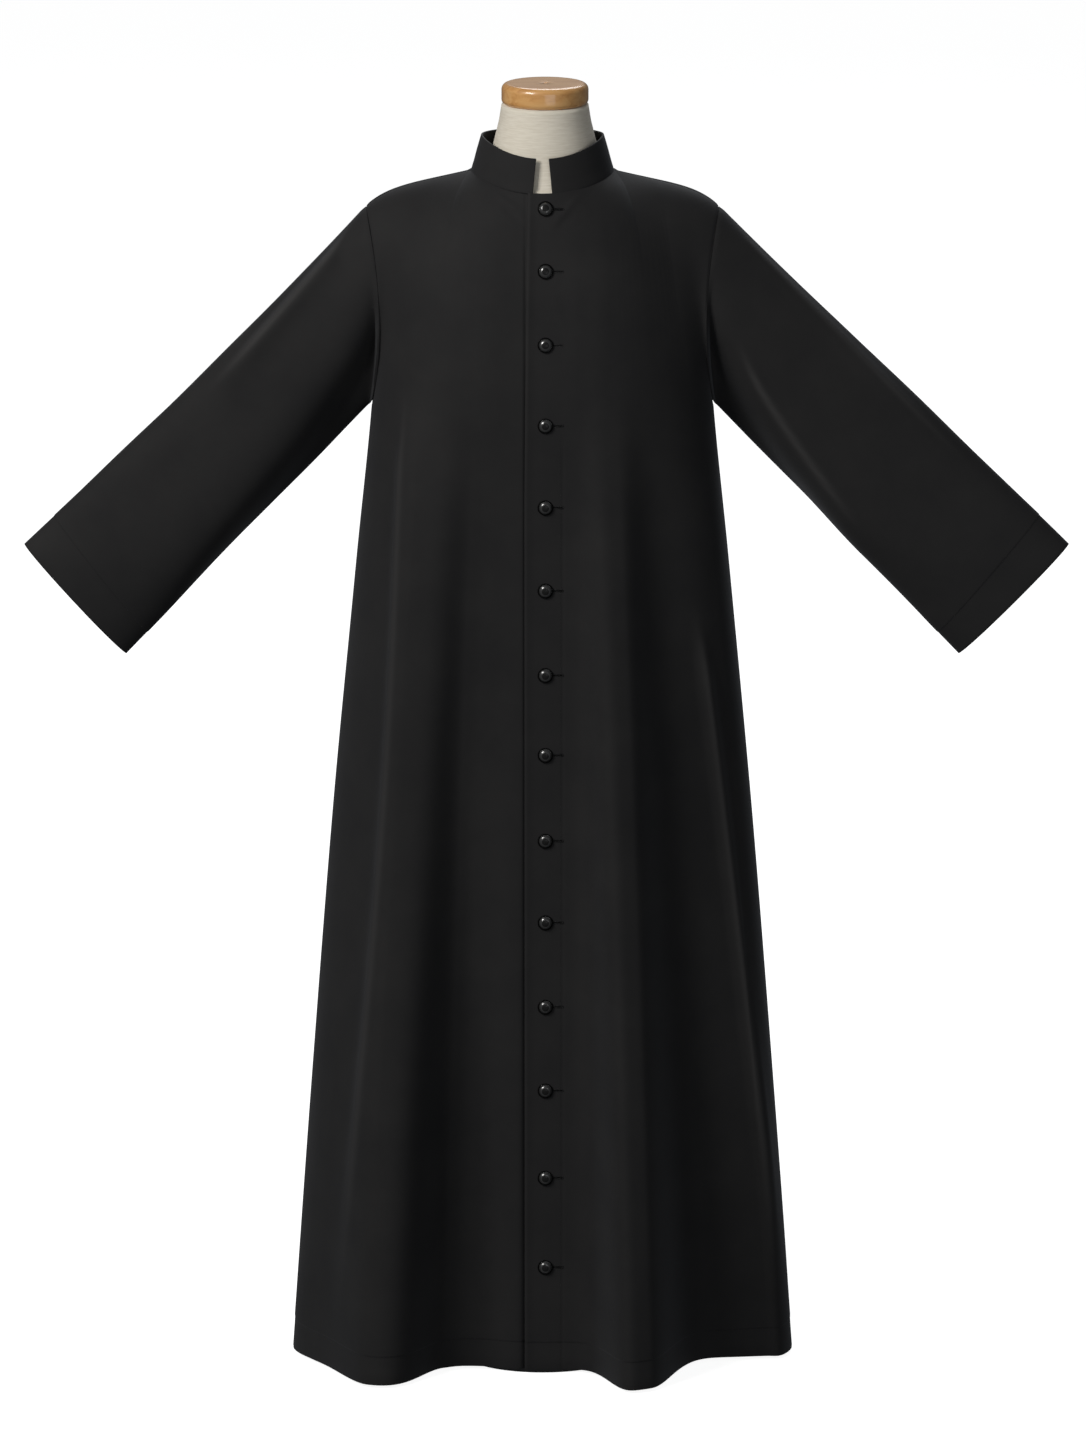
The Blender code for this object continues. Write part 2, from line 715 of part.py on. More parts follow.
def make_form(linen):
    """The torso follows the cloth's inner side at the shoulders, and narrows away from it below."""
    torso = [ring_of(waist_line(row, False), waist_line(row, True)) for row in WAIST_ROWS]
    rows = yoke_rows()
    for row in rows[:-1]:
        torso.append(ring_of(form_line(row, False), form_line(row, True)))
    front, back = form_line(rows[-1], False), form_line(rows[-1], True)
    neck_count = sum(column <= NECK_SHARE + TINY for column in form_columns(2, False))
    back_count = sum(column <= NECK_SHARE + TINY for column in form_columns(2, True))
    shoulder = len(front) - neck_count + 1
    for k in range(1, shoulder + 1):
        middle = (front[-k] + back[-k]) / 2
        front[-k], back[-k] = middle, middle.copy()
    torso.append(ring_of(front, back))
    front_turns = form_columns(2, False)[:neck_count]
    back_turns = form_columns(2, True)[:back_count]
    neck = [ring_of(front[:neck_count], back[:back_count])]
    neck.append(neck_foot(front_turns, back_turns))
    neck += [neck_ring(row, front_turns, back_turns) for row in NECK_ROWS]
    mesh = bpy.data.meshes.new("form_torso")
    bm = bmesh.new()
    for points in (torso, neck):
        add_grid(bm, points)
    bmesh.ops.remove_doubles(bm, verts=bm.verts, dist=WELD)
    bmesh.ops.holes_fill(bm, edges=bm.edges, sides=0)
    bmesh.ops.recalc_face_normals(bm, faces=bm.faces)
    bm.to_mesh(mesh)
    bm.free()
    mesh.shade_smooth()
    new_object("form_torso", mesh, linen)


def make_cap(wood):
    top = CAP_BOTTOM_Z + CAP_THICKNESS
    hole_floor = top - CAP_HOLE_DEPTH
    profile = [(0.0, hole_floor), (CAP_HOLE_RADIUS, hole_floor), (CAP_HOLE_RADIUS, top)]
    steps = range(CAP_ROUND_STEPS + 1)
    for k in steps:
        turn = math.pi / 2 * k / CAP_ROUND_STEPS
        out = CAP_RADIUS - CAP_TOP_ROUND * (1 - math.sin(turn))
        profile.append((out, top - CAP_TOP_ROUND * (1 - math.cos(turn))))
    for k in steps:
        turn = math.pi / 2 * k / CAP_ROUND_STEPS
        out = CAP_RADIUS - CAP_FOOT_ROUND * (1 - math.cos(turn))
        profile.append((out, CAP_BOTTOM_Z + CAP_FOOT_ROUND * (1 - math.sin(turn))))
    profile.append((0.0, CAP_BOTTOM_Z))
    cap = turned("form_cap", profile, CAP_STEPS, wood)
    cap.location = (NECK_X, NECK_Y, 0)


def make_stand(steel):
    flange_top = FORM_BOTTOM_Z - SEAM_GAP
    flange_low = flange_top - POLE_FLANGE_THICKNESS
    pole_low = BASE_THICKNESS + SEAM_GAP
    turned(
        "stand_pole",
        [
            (0.0, flange_top),
            (POLE_FLANGE_RADIUS, flange_top),
            (POLE_FLANGE_RADIUS, flange_low),
            (POLE_RADIUS, flange_low),
            (POLE_RADIUS, pole_low),
            (0.0, pole_low),
        ],
        STAND_STEPS,
        steel,
    )
    turned(
        "stand_base",
        [
            (0.0, BASE_THICKNESS),
            (BASE_RADIUS - BASE_BEVEL, BASE_THICKNESS),
            (BASE_RADIUS, BASE_THICKNESS - BASE_BEVEL),
            (BASE_RADIUS, 0.0),
            (0.0, 0.0),
        ],
        STAND_STEPS,
        steel,
    )


def material(name, colour, roughness, metallic=0.0):
    made = bpy.data.materials.new(name)
    made.use_nodes = True
    shader = made.node_tree.nodes["Principled BSDF"]
    shader.inputs["Base Color"].default_value = (*colour, 1)
    shader.inputs["Roughness"].default_value = roughness
    shader.inputs["Metallic"].default_value = metallic
    made.diffuse_color = (*colour, 1)
    return made


for old in list(bpy.data.objects):
    bpy.data.objects.remove(old)
parts = bpy.data.collections.new("cassock")
bpy.context.scene.collection.children.link(parts)

black_cloth = material("black_cloth", (0.012, 0.012, 0.013), 0.85)
black_gloss = material("black_gloss", (0.006, 0.006, 0.007), 0.25)
linen = material("linen", (0.76, 0.70, 0.60), 0.9)
wood = material("varnished_wood", (0.62, 0.33, 0.12), 0.35)
steel = material("painted_steel", (0.03, 0.03, 0.03), 0.5)

make_fronts(black_cloth)
make_back(black_cloth)
make_sleeves(black_cloth)
make_collar(black_cloth)
make_buttons(black_gloss)
make_form(linen)
make_cap(wood)
make_stand(steel)
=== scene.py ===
"""Looks of a buttoned cassock of black cloth, worn by a limbless dress form on a stand.

Metres, +Z up, +X towards the wearer's left, -Y towards the front, as in the frame. Each panel follows
the sizes of the solid that it replaces on a finer grid, and adds seams, creases and stitching.
"""

import math
from collections import namedtuple

import bmesh
import bpy
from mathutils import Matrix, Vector, noise


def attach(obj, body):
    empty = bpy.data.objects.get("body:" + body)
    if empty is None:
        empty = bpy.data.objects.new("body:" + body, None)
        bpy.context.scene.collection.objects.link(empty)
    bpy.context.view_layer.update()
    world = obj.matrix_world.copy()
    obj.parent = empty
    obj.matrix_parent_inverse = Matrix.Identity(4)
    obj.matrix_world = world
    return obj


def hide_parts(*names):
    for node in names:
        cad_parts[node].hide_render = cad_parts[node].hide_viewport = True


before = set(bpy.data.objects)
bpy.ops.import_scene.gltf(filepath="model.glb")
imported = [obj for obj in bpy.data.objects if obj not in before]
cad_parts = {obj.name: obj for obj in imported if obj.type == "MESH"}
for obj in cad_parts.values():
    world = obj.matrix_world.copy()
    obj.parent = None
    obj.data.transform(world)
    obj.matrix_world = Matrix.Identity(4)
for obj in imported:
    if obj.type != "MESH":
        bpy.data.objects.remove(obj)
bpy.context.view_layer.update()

# Sides of the garment, as signs of X: the wearer's left and right
LEFT = 1
RIGHT = -1

# Cloth
WALL = 0.0015
COLLAR_WALL = 0.0025
SEAM_GAP = 0.0003
ARMHOLE_SEAM_GAP = 0.0013
SHOULDER_MITRE = 0.0008

# Heights of the garment
HEM_Z = 0.005
ARMPIT_Z = 1.191
FOLD_START_Z = 1.31
ARMPIT_ROW_DROP_FRONT = 0.090
ARMPIT_ROW_DROP_BACK = 0.070

# Plan of the body at six heights, without its folds: half its width, its front and back depths from
# the side seam, and how far its corners stand out, as a share of the radius
Section = namedtuple("Section", "height half_width front back corner")
SECTIONS = (
    Section(HEM_Z, 0.3084, 0.150, 0.170, 0.000),
    Section(0.350, 0.2831, 0.148, 0.150, 0.080),
    Section(0.700, 0.2551, 0.145, 0.132, 0.042),
    Section(1.000, 0.2263, 0.143, 0.119, 0.080),
    Section(ARMPIT_Z, 0.2070, 0.141, 0.117, 0.050),
    Section(1.300, 0.2020, 0.139, 0.117, 0.050),
)

# Folds that fan out from the chest to the hem. Place is the share of the half-width, the wearer's
# right negative. Depth is at the hem, and the widths are shares of the half-width too
Fold = namedtuple("Fold", "place depth width_to_right width_to_left")
FRONT_FOLDS = (
    Fold(-0.694, 0.0705, 0.096, 0.212),
    Fold(-0.389, -0.0615, 0.085, 0.268),
    Fold(0.034, -0.0500, 0.146, 0.120),
    Fold(0.431, 0.1140, 0.269, 0.085),
    Fold(0.545, -0.0627, 0.212, 0.261),
    Fold(1.040, 0.0292, 0.085, 0.085),
)
BACK_FOLDS = (
    Fold(-0.78, 0.040, 0.090, 0.110),
    Fold(-0.50, -0.035, 0.110, 0.110),
    Fold(-0.20, 0.055, 0.120, 0.110),
    Fold(0.10, -0.040, 0.110, 0.110),
    Fold(0.42, 0.060, 0.120, 0.120),
    Fold(0.70, -0.030, 0.090, 0.090),
)
FOLD_FADE_AT_SIDE = 0.10
FOLD_ONSET = 5
PLACKET_FLAT = (0.085, 0.40)

# Neck seam and collar: half-width, front and back depths from the side, and the heights there
Ring = namedtuple("Ring", "half_width front back front_z side_z back_z")
NECK_SEAM = Ring(0.0854, 0.085, 0.065, 1.4622, 1.4772, 1.4815)
COLLAR_TOP = Ring(0.0740, 0.075, 0.057, 1.5028, 1.5205, 1.5190)
COLLAR_GAP_BASE = 0.0230
COLLAR_GAP_TOP = 0.0150
COLLAR_BELLY = 0.0005
COLLAR_FIRST_TURN = 0.03

# Shoulder seam and armhole
SHOULDER_TIP = (0.2140, 0.005, 1.4315)
SHOULDER_SLOPE_DROP = 0.0300
ARMPIT_X = 0.2070
ARMHOLE_DIP = 0.0125
ARMHOLE_FRONT = 0.056
ARMHOLE_BACK = 0.052

# Yoke: how far the patch bulges, how soon it leaves the rows below and how far it reaches over at the
# top, at the centre and at the armhole
YOKE_BULGE = 1.06
TOP_REACH_CENTRE = 0.80
TOP_REACH_ARMHOLE = 0.62
ARMPIT_POWER = 6
ARMHOLE_POWER = 3
SHOULDER_POWER = 6
SLOPE_STEP = 0.02
SOFT_TOP_SPREAD = 0.24
SOFT_TOP_SAMPLES = 6
SOFT_TOP_POWER = 4
NORMAL_STEP = 0.004
TINY = 0.000001

# Sleeves
CUFF_Y = -0.002
CUFF_HALF_DEPTH = 0.0275
Sleeve = namedtuple("Sleeve", "cuff_x cuff_z half_length lean top_sag underside_sag")
LEFT_SLEEVE = Sleeve(0.5732, 0.9480, 0.0956, math.radians(44.4), 0.0028, 0.0030)
RIGHT_SLEEVE = Sleeve(0.5683, 0.9480, 0.0922, math.radians(42.2), 0.0080, 0.0030)
SLEEVE_FOLDS = 3
SLEEVE_FOLD_DEPTH = 0.0035
SLEEVE_FOLD_TWIST = 2.2

# Overlap of the fronts: half its width, and the cloth's step out or in there, which fades sideways
OVERLAP = 0.0218
OVERLAP_STEP = 0.0009
OVERLAP_FADE = (0.026, 0.062)

# Buttons: heights of their centres, their place across and the sizes of the turned dome
BUTTON_HEIGHTS = (
    1.4445, 1.3722, 1.2853, 1.1883, 1.0878, 0.9850, 0.8802,
    0.7808, 0.6738, 0.5715, 0.4655, 0.3600, 0.2495, 0.1360,
)
BUTTON_X = 0.0035
BUTTON_RADIUS = 0.0077
BUTTON_HEIGHT = 0.0052
BUTTON_GAP = 0.0006
BUTTON_FOOT_SHARE = 0.9
HALVINGS = 40

# Grids
SKIRT_ROWS = 17
YOKE_ROWS = 11
YOKE_CLOSENESS = 1.35
FRONT_COLUMNS = 13
NECK_COLUMNS = 5
BACK_NECK_COLUMNS = 6
SLEEVE_ROWS = 10
COLLAR_ROWS = 3

# Dress form: its inset from the cloth, more at the chest, and the torso's rows below the armpits, as
# shares of the height to the armpit row and of the cloth's plan there
FORM_CLEARANCE = 0.0008
FORM_CHEST_EASE = 0.009
FORM_CHEST_FADE = 0.85
FORM_OVERLAP_FADE = 0.9
FORM_ARMHOLE_INSET = 0.013
FORM_INSET_START = 0.35
FORM_BOTTOM_Z = 0.800
WaistRow = namedtuple("WaistRow", "share width depth")
WAIST_ROWS = (
    WaistRow(0.00, 0.70, 0.76),
    WaistRow(0.12, 0.73, 0.79),
    WaistRow(0.30, 0.71, 0.77),
    WaistRow(0.50, 0.69, 0.75),
    WaistRow(0.70, 0.74, 0.80),
    WaistRow(0.86, 0.84, 0.87),
)
NECK_X = 0.003
NECK_Y = -0.006
NECK_FOOT_SHARE = 0.90
NECK_FOOT_RISE = 0.003
NeckRow = namedtuple("NeckRow", "height half_width half_depth")
NECK_ROWS = (
    NeckRow(1.4970, 0.0660, 0.0630),
    NeckRow(1.5160, 0.0610, 0.0600),
    NeckRow(1.5390, 0.0555, 0.0555),
    NeckRow(1.5580, 0.0525, 0.0525),
)

# Wooden cap
CAP_BOTTOM_Z = 1.5583
CAP_RADIUS = 0.0525
CAP_THICKNESS = 0.0255
CAP_TOP_ROUND = 0.0075
CAP_FOOT_ROUND = 0.0060
CAP_HOLE_RADIUS = 0.0025
CAP_HOLE_DEPTH = 0.012

# Stand
POLE_RADIUS = 0.0140
POLE_FLANGE_RADIUS = 0.0550
POLE_FLANGE_THICKNESS = 0.0060
BASE_RADIUS = 0.105
BASE_THICKNESS = 0.012
BASE_BEVEL = 0.003
WELD = 0.00001

# Finer grids: steps within each row and column of the solids' grids, and the rows about a hem's stitched
# line, in half widths of its step
SKIRT_STEPS = 4
YOKE_STEPS = 5
COLUMN_STEPS = 13
BACK_COLUMN_STEPS = 6
PLACKET_STEPS = 8
NEAR_STEPS = 4
EDGE_STEPS = 3
SLEEVE_STEPS = 9
SLEEVE_TURN_STEPS = 5
COLLAR_STEPS = 6
COLLAR_TURN_STEPS = 5
FORM_STEPS = 4
FORM_YOKE_STEPS = 2
HEM_ROWS = (-1.5, -0.75, 0, 0.75, 1.5)
HEM_ROWS_CLEAR = 2

# Sewing: seams rolled in at their edges, the collar's lap over them, and the stitched lines of hem,
# cuffs and front facing
SEAM_ROLL = 0.0009
SEAM_ROLL_WIDTH = 0.0030
NECK_ROLL = 0.2
FINE_SEAM_GAP = 0.0002
COLLAR_LAP_OUT = 0.0011
COLLAR_LAP_DROP = 0.0014
FINE_SHOULDER_GAP = 0.0010
HEM_DEPTH = 0.038
CUFF_HEM_DEPTH = 0.045
HEM_STEP = 0.0006
HEM_STEP_WIDTH = 0.0020
FACING_GROOVE_WIDTH = 0.0018
FACING_X = 0.0244
FACING_TOP_Z = 1.18
FACING_GROOVE = 0.00035
NEAR_SPACING = 0.0008

# Edge of the overlap: the rounded fold beside it, and the hollow of the front below it, from hem to neck
PlacketFold = namedtuple("PlacketFold", "distance lift outer_width inner_width")
PLACKET_FOLD = PlacketFold(0.0022, 0.0012, 0.0013, 0.0050)
Hollow = namedtuple("Hollow", "height depth width")
HOLLOWS = (
    Hollow(0.0, 0.0044, 0.0046),
    Hollow(1.00, 0.0026, 0.0026),
    Hollow(1.36, 0.0015, 0.0018),
    Hollow(1.43, 0.0004, 0.0018),
)
HOLLOW_INSET = 0.0014

# Rims of the walls, and the stitches: each kind's length and spacing
RIM_ROUND = 0.0005
RIM_SEGMENTS = 2
RIM_ANGLE = math.radians(60)
STITCH_SIDES = 6
STITCH_WIDTH = 0.0007
STITCH_HEIGHT = 0.00035
HEM_STITCH = (0.0024, 0.0075)
FACING_STITCH = (0.0028, 0.0042)

# Buttonholes: the slit from the button outwards, and the stitches round it
BUTTONHOLE_START = -0.001
BUTTONHOLE_LENGTH = 0.0215
BUTTONHOLE_HALF_WIDTH = 0.0011
BUTTONHOLE_STITCH = (0.0019, 0.00075)
BUTTONHOLE_END_STITCHES = 7
SLIT_HALF_WIDTH = 0.00035
SLIT_HEIGHT = 0.00025

# Creases of the fronts: heights of the ends, the x at top, middle and bottom, the lift at the crest and
# the widths to the wearer's right and left of it. The steepness is that of both ends, top first
Crease = namedtuple("Crease", "top_z low_z top_x middle_x low_x lift right_width left_width")
RIGHT_FRONT_CREASES = (
    Crease(1.230, 0.020, -0.165, -0.1945, -0.258, 0.0078, 0.009, 0.022),
)
LEFT_FRONT_CREASES = (
    Crease(0.950, 0.020, 0.186, 0.2435, 0.298, 0.0090, 0.007, 0.010),
)
CREASE_STEEPNESS = (10, 3)

# Painted highlights on the crests of the creases, a paler colour that stands in for the light caught there:
# their widths in metres and in turns, their colour and how much of it the fronts take
CREST_HIGHLIGHT_WIDTH = 0.0036
SLEEVE_CREST_HIGHLIGHT_WIDTH = 0.07
CREST_PAINTED_HIGHLIGHT_COLOUR = (0.034, 0.033, 0.033)
FRONT_CREST_HIGHLIGHT_SHARE = 0.6

# Short creases where the cloth pulls at the top buttons: the ends in x and z, the lift and the width
Tension = namedtuple("Tension", "start_x start_z end_x end_z lift width")
TENSIONS = (
    Tension(-0.022, 1.438, -0.058, 1.462, 0.0011, 0.0030),
    Tension(-0.022, 1.428, -0.050, 1.448, -0.0009, 0.0030),
    Tension(0.010, 1.425, 0.048, 1.462, 0.0010, 0.0034),
    Tension(0.010, 1.416, 0.040, 1.440, -0.0008, 0.0034),
    Tension(0.006, 1.352, 0.030, 1.310, 0.0008, 0.0040),
)

# Slow waves of hanging cloth
WAVE_LIFT = 0.0011
WAVE_ACROSS = 11.0
WAVE_DOWN = 1.5

# Creases of the sleeves: the ridge by the top edge and the hollow from the armpit. Each has its turns
# about the sleeve and its shares of the length at both ends, its lift, and its widths in turns above
# and below the crest. The steepness is that of both ends, the armhole's first
SleeveCrease = namedtuple("SleeveCrease", "first_turn last_turn first_share last_share lift upper lower")
SLEEVE_CREASES = {
    LEFT: (
        SleeveCrease(0.16, 0.48, 0.02, 0.75, 0.0060, 0.10, 0.25),
        SleeveCrease(1.50, 2.30, 0.10, 0.60, 0.0035, 0.11, 0.11),
        SleeveCrease(1.85, 3.10, 0.00, 0.60, -0.0260, 0.45, 1.10),
    ),
    RIGHT: (
        SleeveCrease(0.20, 0.58, 0.04, 0.50, 0.0105, 0.08, 0.30),
        SleeveCrease(1.90, 3.10, 0.00, 0.85, -0.0280, 0.48, 1.10),
    ),
}
SLEEVE_CREASE_STEEPNESS = (6, 2.5)
SLEEVE_SEAM_FADE = 0.014
SLEEVE_WAVE_FADE = 0.2
SLEEVE_TUCK = 0.0013

# Cut of each cloth piece before sewing, with its turnings
Cut = namedtuple("Cut", "node width length area")
CUTS = (
    Cut("front_left", 0.470, 1.560, 0.600),
    Cut("front_right", 0.470, 1.560, 0.600),
    Cut("back", 0.870, 1.580, 1.090),
    Cut("sleeve_left", 0.560, 0.620, 0.255),
    Cut("sleeve_right", 0.560, 0.620, 0.250),
    Cut("collar", 0.470, 0.052, 0.0242),
)

# Fine forms of the buttons: the dark rim with its turns, which is a painted shadow ring round each button,
# and the share of the dome that is crown
BUTTON_SHADOW_RIM = 0.0017
BUTTON_SHADOW_RIM_HEIGHT = 0.0008
BUTTON_SHADOW_RIM_TURNS = (-1.0, 1.9)
BUTTON_CROWN_SHARE = 0.62
BUTTON_ARC_STEPS = 8
BUTTON_TURNS = 48

# Fine forms of cap and stand: roundings, the flat faces' rings, and the steps of arcs and turns
HOLE_ROUND = 0.0006
STAND_ROUND = 0.0010
CAP_TOP_RINGS = (0.3, 0.6)
CAP_FOOT_RING = 0.5
HOLE_ARC_STEPS = 3
CAP_TOP_ARC_STEPS = 12
CAP_FOOT_ARC_STEPS = 8
FLANGE_ARC_STEPS = 4
BASE_ARC_STEPS = 6
CAP_TURNS = 96
STAND_TURNS = 96

# Weaves: width of a thread or rib, and the scales of its waves and its fuzz for a width of one metre
CLOTH_THREAD = 0.0009
LINEN_THREAD = 0.0012
WAVES_PER_THREAD = 0.314
FUZZ_PER_THREAD = 0.35

# Gloss of a button's crown, of its glossier edge, whose paler colour is a painted reflection, and of its
# near-black rim and foot, a painted shadow ring round the button
Gloss = namedtuple("Gloss", "name roughness coat dark light")
BUTTON_GLOSSES = (
    Gloss("black_gloss_crown", 0.60, 0.10, 0.007, 0.014),
    Gloss("black_gloss_edge_painted_reflection", 0.28, 0.80, 0.024, 0.034),
    Gloss("black_foot_painted_shadow", 0.80, 0.05, 0.0012, 0.0022),
)

# Studio: floor, light and camera
FLOOR_COLOUR = (0.55, 0.55, 0.55)
FLOOR_GLOW = 0.92
FLOOR_SIZE = 80.0
WORLD_COLOUR = (0.94, 0.97, 1.0)
WORLD_STRENGTH = 0.10
Light = namedtuple("Light", "name place size power colour")
LIGHTS = (
    Light("key", (-3.90, -3.80, 4.90), 2.4, 314, (1.0, 0.985, 0.96)),
    Light("fill", (1.5, -6.0, 1.5), 3.0, 60, (0.96, 0.98, 1.0)),
    Light("back", (0.6, 4.5, 5.5), 3.0, 150, (0.96, 0.98, 1.0)),
)
LIGHT_TARGET = (0.0, 0.0, 1.0)
SENSOR = 36.0
CAMERA_DISTANCE = 14.5
CAMERA_FRAME_HEIGHT = 1.7666
CAMERA_ELEVATION = math.radians(12.5)
CAMERA_TARGET = (0.0006, 0.0, 0.791)


def smooth(value):
    """A soft step from 0 to 1."""
    value = min(max(value, 0.0), 1.0)
    return value * value * (3 - 2 * value)


def mix(a, b, share):
    return a + (b - a) * share


def section_at(height):
    """The plan of the body at a height, read from the table along smooth curves."""
    rows = SECTIONS
    height = min(max(height, rows[0].height), rows[-1].height)
    k = 0
    while k < len(rows) - 2 and height > rows[k + 1].height:
        k += 1
    low, high = rows[k], rows[k + 1]
    before, after = rows[max(k - 1, 0)], rows[min(k + 2, len(rows) - 1)]
    run = high.height - low.height
    share = (height - low.height) / run
    values = []
    for column in range(1, len(Section._fields)):
        start = (high[column] - before[column]) / (high.height - before.height) * run
        end = (after[column] - low[column]) / (after.height - low.height) * run
        values.append(hermite(low[column], start, high[column], end, share))
    return Section(height, *values)


def hermite(start, start_slope, end, end_slope, share):
    """A cubic from start to end with these slopes at its ends."""
    square, cube = share * share, share ** 3
    return (
        start * (2 * cube - 3 * square + 1)
        + start_slope * (cube - 2 * square + share)
        + end * (3 * square - 2 * cube)
        + end_slope * (cube - square)
    )


def plan_point(column, height, back):
    """A point of the body's plan, without folds. column runs from 0 at the centre to 1 at the side."""
    section = section_at(height)
    turn = column * math.pi / 2
    out = 1 + section.corner * math.sin(2 * turn) ** 2
    depth = section.back if back else -section.front
    return Vector((section.half_width * math.sin(turn) * out, depth * math.cos(turn) * out, height))


def fold_depth(share, height, back):
    """How far the folds push the cloth out, share being the signed share of the half-width."""
    growth = (FOLD_START_Z - height) / (FOLD_START_Z - HEM_Z)
    if growth <= 0:
        return 0.0
    growth *= smooth(growth * FOLD_ONSET)
    share *= smooth((abs(share) - PLACKET_FLAT[0]) / (PLACKET_FLAT[1] - PLACKET_FLAT[0]))
    total = 0.0
    for fold in BACK_FOLDS if back else FRONT_FOLDS:
        away = share - fold.place
        width = fold.width_to_right if away < 0 else fold.width_to_left
        total += fold.depth * math.exp(-0.5 * (away / width) ** 2)
    return total * growth * smooth((1 - abs(share)) / FOLD_FADE_AT_SIDE)


def row_height(column, skirt_share, back):
    """The height of a skirt row, which dips from the armpit towards the centre."""
    drop = ARMPIT_ROW_DROP_BACK if back else ARMPIT_ROW_DROP_FRONT
    top = ARMPIT_Z - drop * math.sin(math.pi / 2 * (1 - column))
    return mix(HEM_Z, top, skirt_share)


def ring_point(ring, turn):
    """A point of the neck seam or of the collar's top, turn being 0 at the front and pi at the back."""
    front = math.cos(turn) > 0
    depth = ring.front if front else ring.back
    end_z = ring.front_z if front else ring.back_z
    z = mix(ring.side_z, end_z, math.cos(turn) ** 2)
    return Vector((ring.half_width * math.sin(turn), -depth * math.cos(turn), z))


def shoulder_point(share):
    """A point of the shoulder seam, from the neck to the tip, which rounds off at its end."""
    neck = ring_point(NECK_SEAM, math.pi / 2)
    tip = Vector(SHOULDER_TIP)
    end_drop = neck.z - tip.z - SHOULDER_SLOPE_DROP
    z = neck.z - SHOULDER_SLOPE_DROP * share - end_drop * share ** SHOULDER_POWER
    return Vector((mix(neck.x, tip.x, share), mix(neck.y, tip.y, share), z))


def armhole_point(turn, back):
    """A point of the armhole seam, turn being 0 at the shoulder and pi at the armpit."""
    tip = Vector(SHOULDER_TIP)
    down = (1 - math.cos(turn)) / 2
    reach = ARMHOLE_BACK if back else -ARMHOLE_FRONT
    x = mix(tip.x, ARMPIT_X, down) - ARMHOLE_DIP * math.sin(turn) ** 2
    y = mix(tip.y, 0.0, down) + reach * math.sin(turn)
    return Vector((x, y, mix(tip.z, ARMPIT_Z, down)))


def overlap_column(height):
    """The column at which the overlap ends, at this height of the skirt."""
    return math.asin(OVERLAP / section_at(height).half_width) * 2 / math.pi


NECK_OVERLAP_COLUMN = 0.055
NECK_SHARE = NECK_OVERLAP_COLUMN + (1 - NECK_OVERLAP_COLUMN) * NECK_COLUMNS / FRONT_COLUMNS


def top_point(column, back):
    """A point of a panel's top edge: the neck seam, then the shoulder seam."""
    if column <= NECK_SHARE:
        turn = column / NECK_SHARE * math.pi / 2
        return ring_point(NECK_SEAM, math.pi - turn if back else turn)
    return shoulder_point((column - NECK_SHARE) / (1 - NECK_SHARE))


def soft_top_point(column, back):
    """The top edge with its corner at the neck's side rounded off."""
    spread = SOFT_TOP_SPREAD * math.sin(math.pi * column)
    steps = range(-SOFT_TOP_SAMPLES, SOFT_TOP_SAMPLES + 1)
    points = [top_point(column + spread * k / SOFT_TOP_SAMPLES, back) for k in steps]
    return sum(points, Vector()) / len(points)


# Direction in which the cloth arrives at its top edge, at the centre, the neck's side and the tip
Arrival = namedtuple("Arrival", "centre neck_side tip")
FRONT_ARRIVAL = Arrival((0.0, 0.42, 0.91), (-0.40, 0.88, 0.22), (0.0, 0.99, 0.02))
BACK_ARRIVAL = Arrival((0.0, -0.45, 0.89), (-0.40, -0.88, 0.22), (0.0, -0.99, 0.02))


def top_direction(column, back):
    arrival = BACK_ARRIVAL if back else FRONT_ARRIVAL
    if column <= NECK_SHARE:
        way = Vector(arrival.centre).lerp(Vector(arrival.neck_side), smooth(column / NECK_SHARE))
    else:
        share = (column - NECK_SHARE) / (1 - NECK_SHARE)
        way = Vector(arrival.neck_side).lerp(Vector(arrival.tip), smooth(share))
    return way.normalized()


def hermite_point(start, start_way, end, end_way, share):
    return Vector(tuple(hermite(*values, share) for values in zip(start, start_way, end, end_way)))


def yoke_point(column, share, back):
    """A point above the armpit row, on a patch between that row, the top edge and the armhole."""
    low_z = row_height(column, 1.0, back)
    start = plan_point(column, low_z, back)
    end = soft_top_point(column, back).lerp(top_point(column, back), share ** SOFT_TOP_POWER)
    length = (top_point(column, back) - start).length * YOKE_BULGE
    up = (start - plan_point(column, low_z - SLOPE_STEP, back)).normalized() * length
    reach = ARMHOLE_BACK if back else -ARMHOLE_FRONT
    round_armpit = Vector((0, math.pi * reach, 0))
    up = up.lerp(round_armpit, column ** ARMPIT_POWER)
    over = top_direction(column, back) * length * mix(TOP_REACH_CENTRE, TOP_REACH_ARMHOLE, column)
    point = hermite_point(start, up, end, over, share)
    if column > 0:
        edge_start, edge_end = plan_point(1, ARMPIT_Z, back), top_point(1, back)
        edge_length = (edge_end - edge_start).length * YOKE_BULGE
        edge_over = top_direction(1, back) * edge_length * TOP_REACH_ARMHOLE
        patch_edge = hermite_point(edge_start, round_armpit, edge_end, edge_over, share)
        seam = armhole_point(math.pi * (1 - share), back)
        point += (seam - patch_edge) * column ** ARMHOLE_POWER
    return point


def body_point(column, row, back=False):
    """An outer point of the garment's body. Columns below 0 cross the centre line, and row runs from
    0 at the hem to 1 at the armpit row and 2 at the top edge."""
    across = abs(column)
    if row <= 1:
        height = row_height(across, row, back)
        point = plan_point(across, height, back)
    else:
        point = yoke_point(across, row - 1, back)
    if column < 0:
        point.x = -point.x
    return point


def surface(column, row, back=False):
    """An outer point of the body with its folds."""
    point = body_point(column, row, back)
    share = point.x / section_at(point.z).half_width
    push = fold_depth(share, point.z, back)
    point.y += push if back else -push
    return point


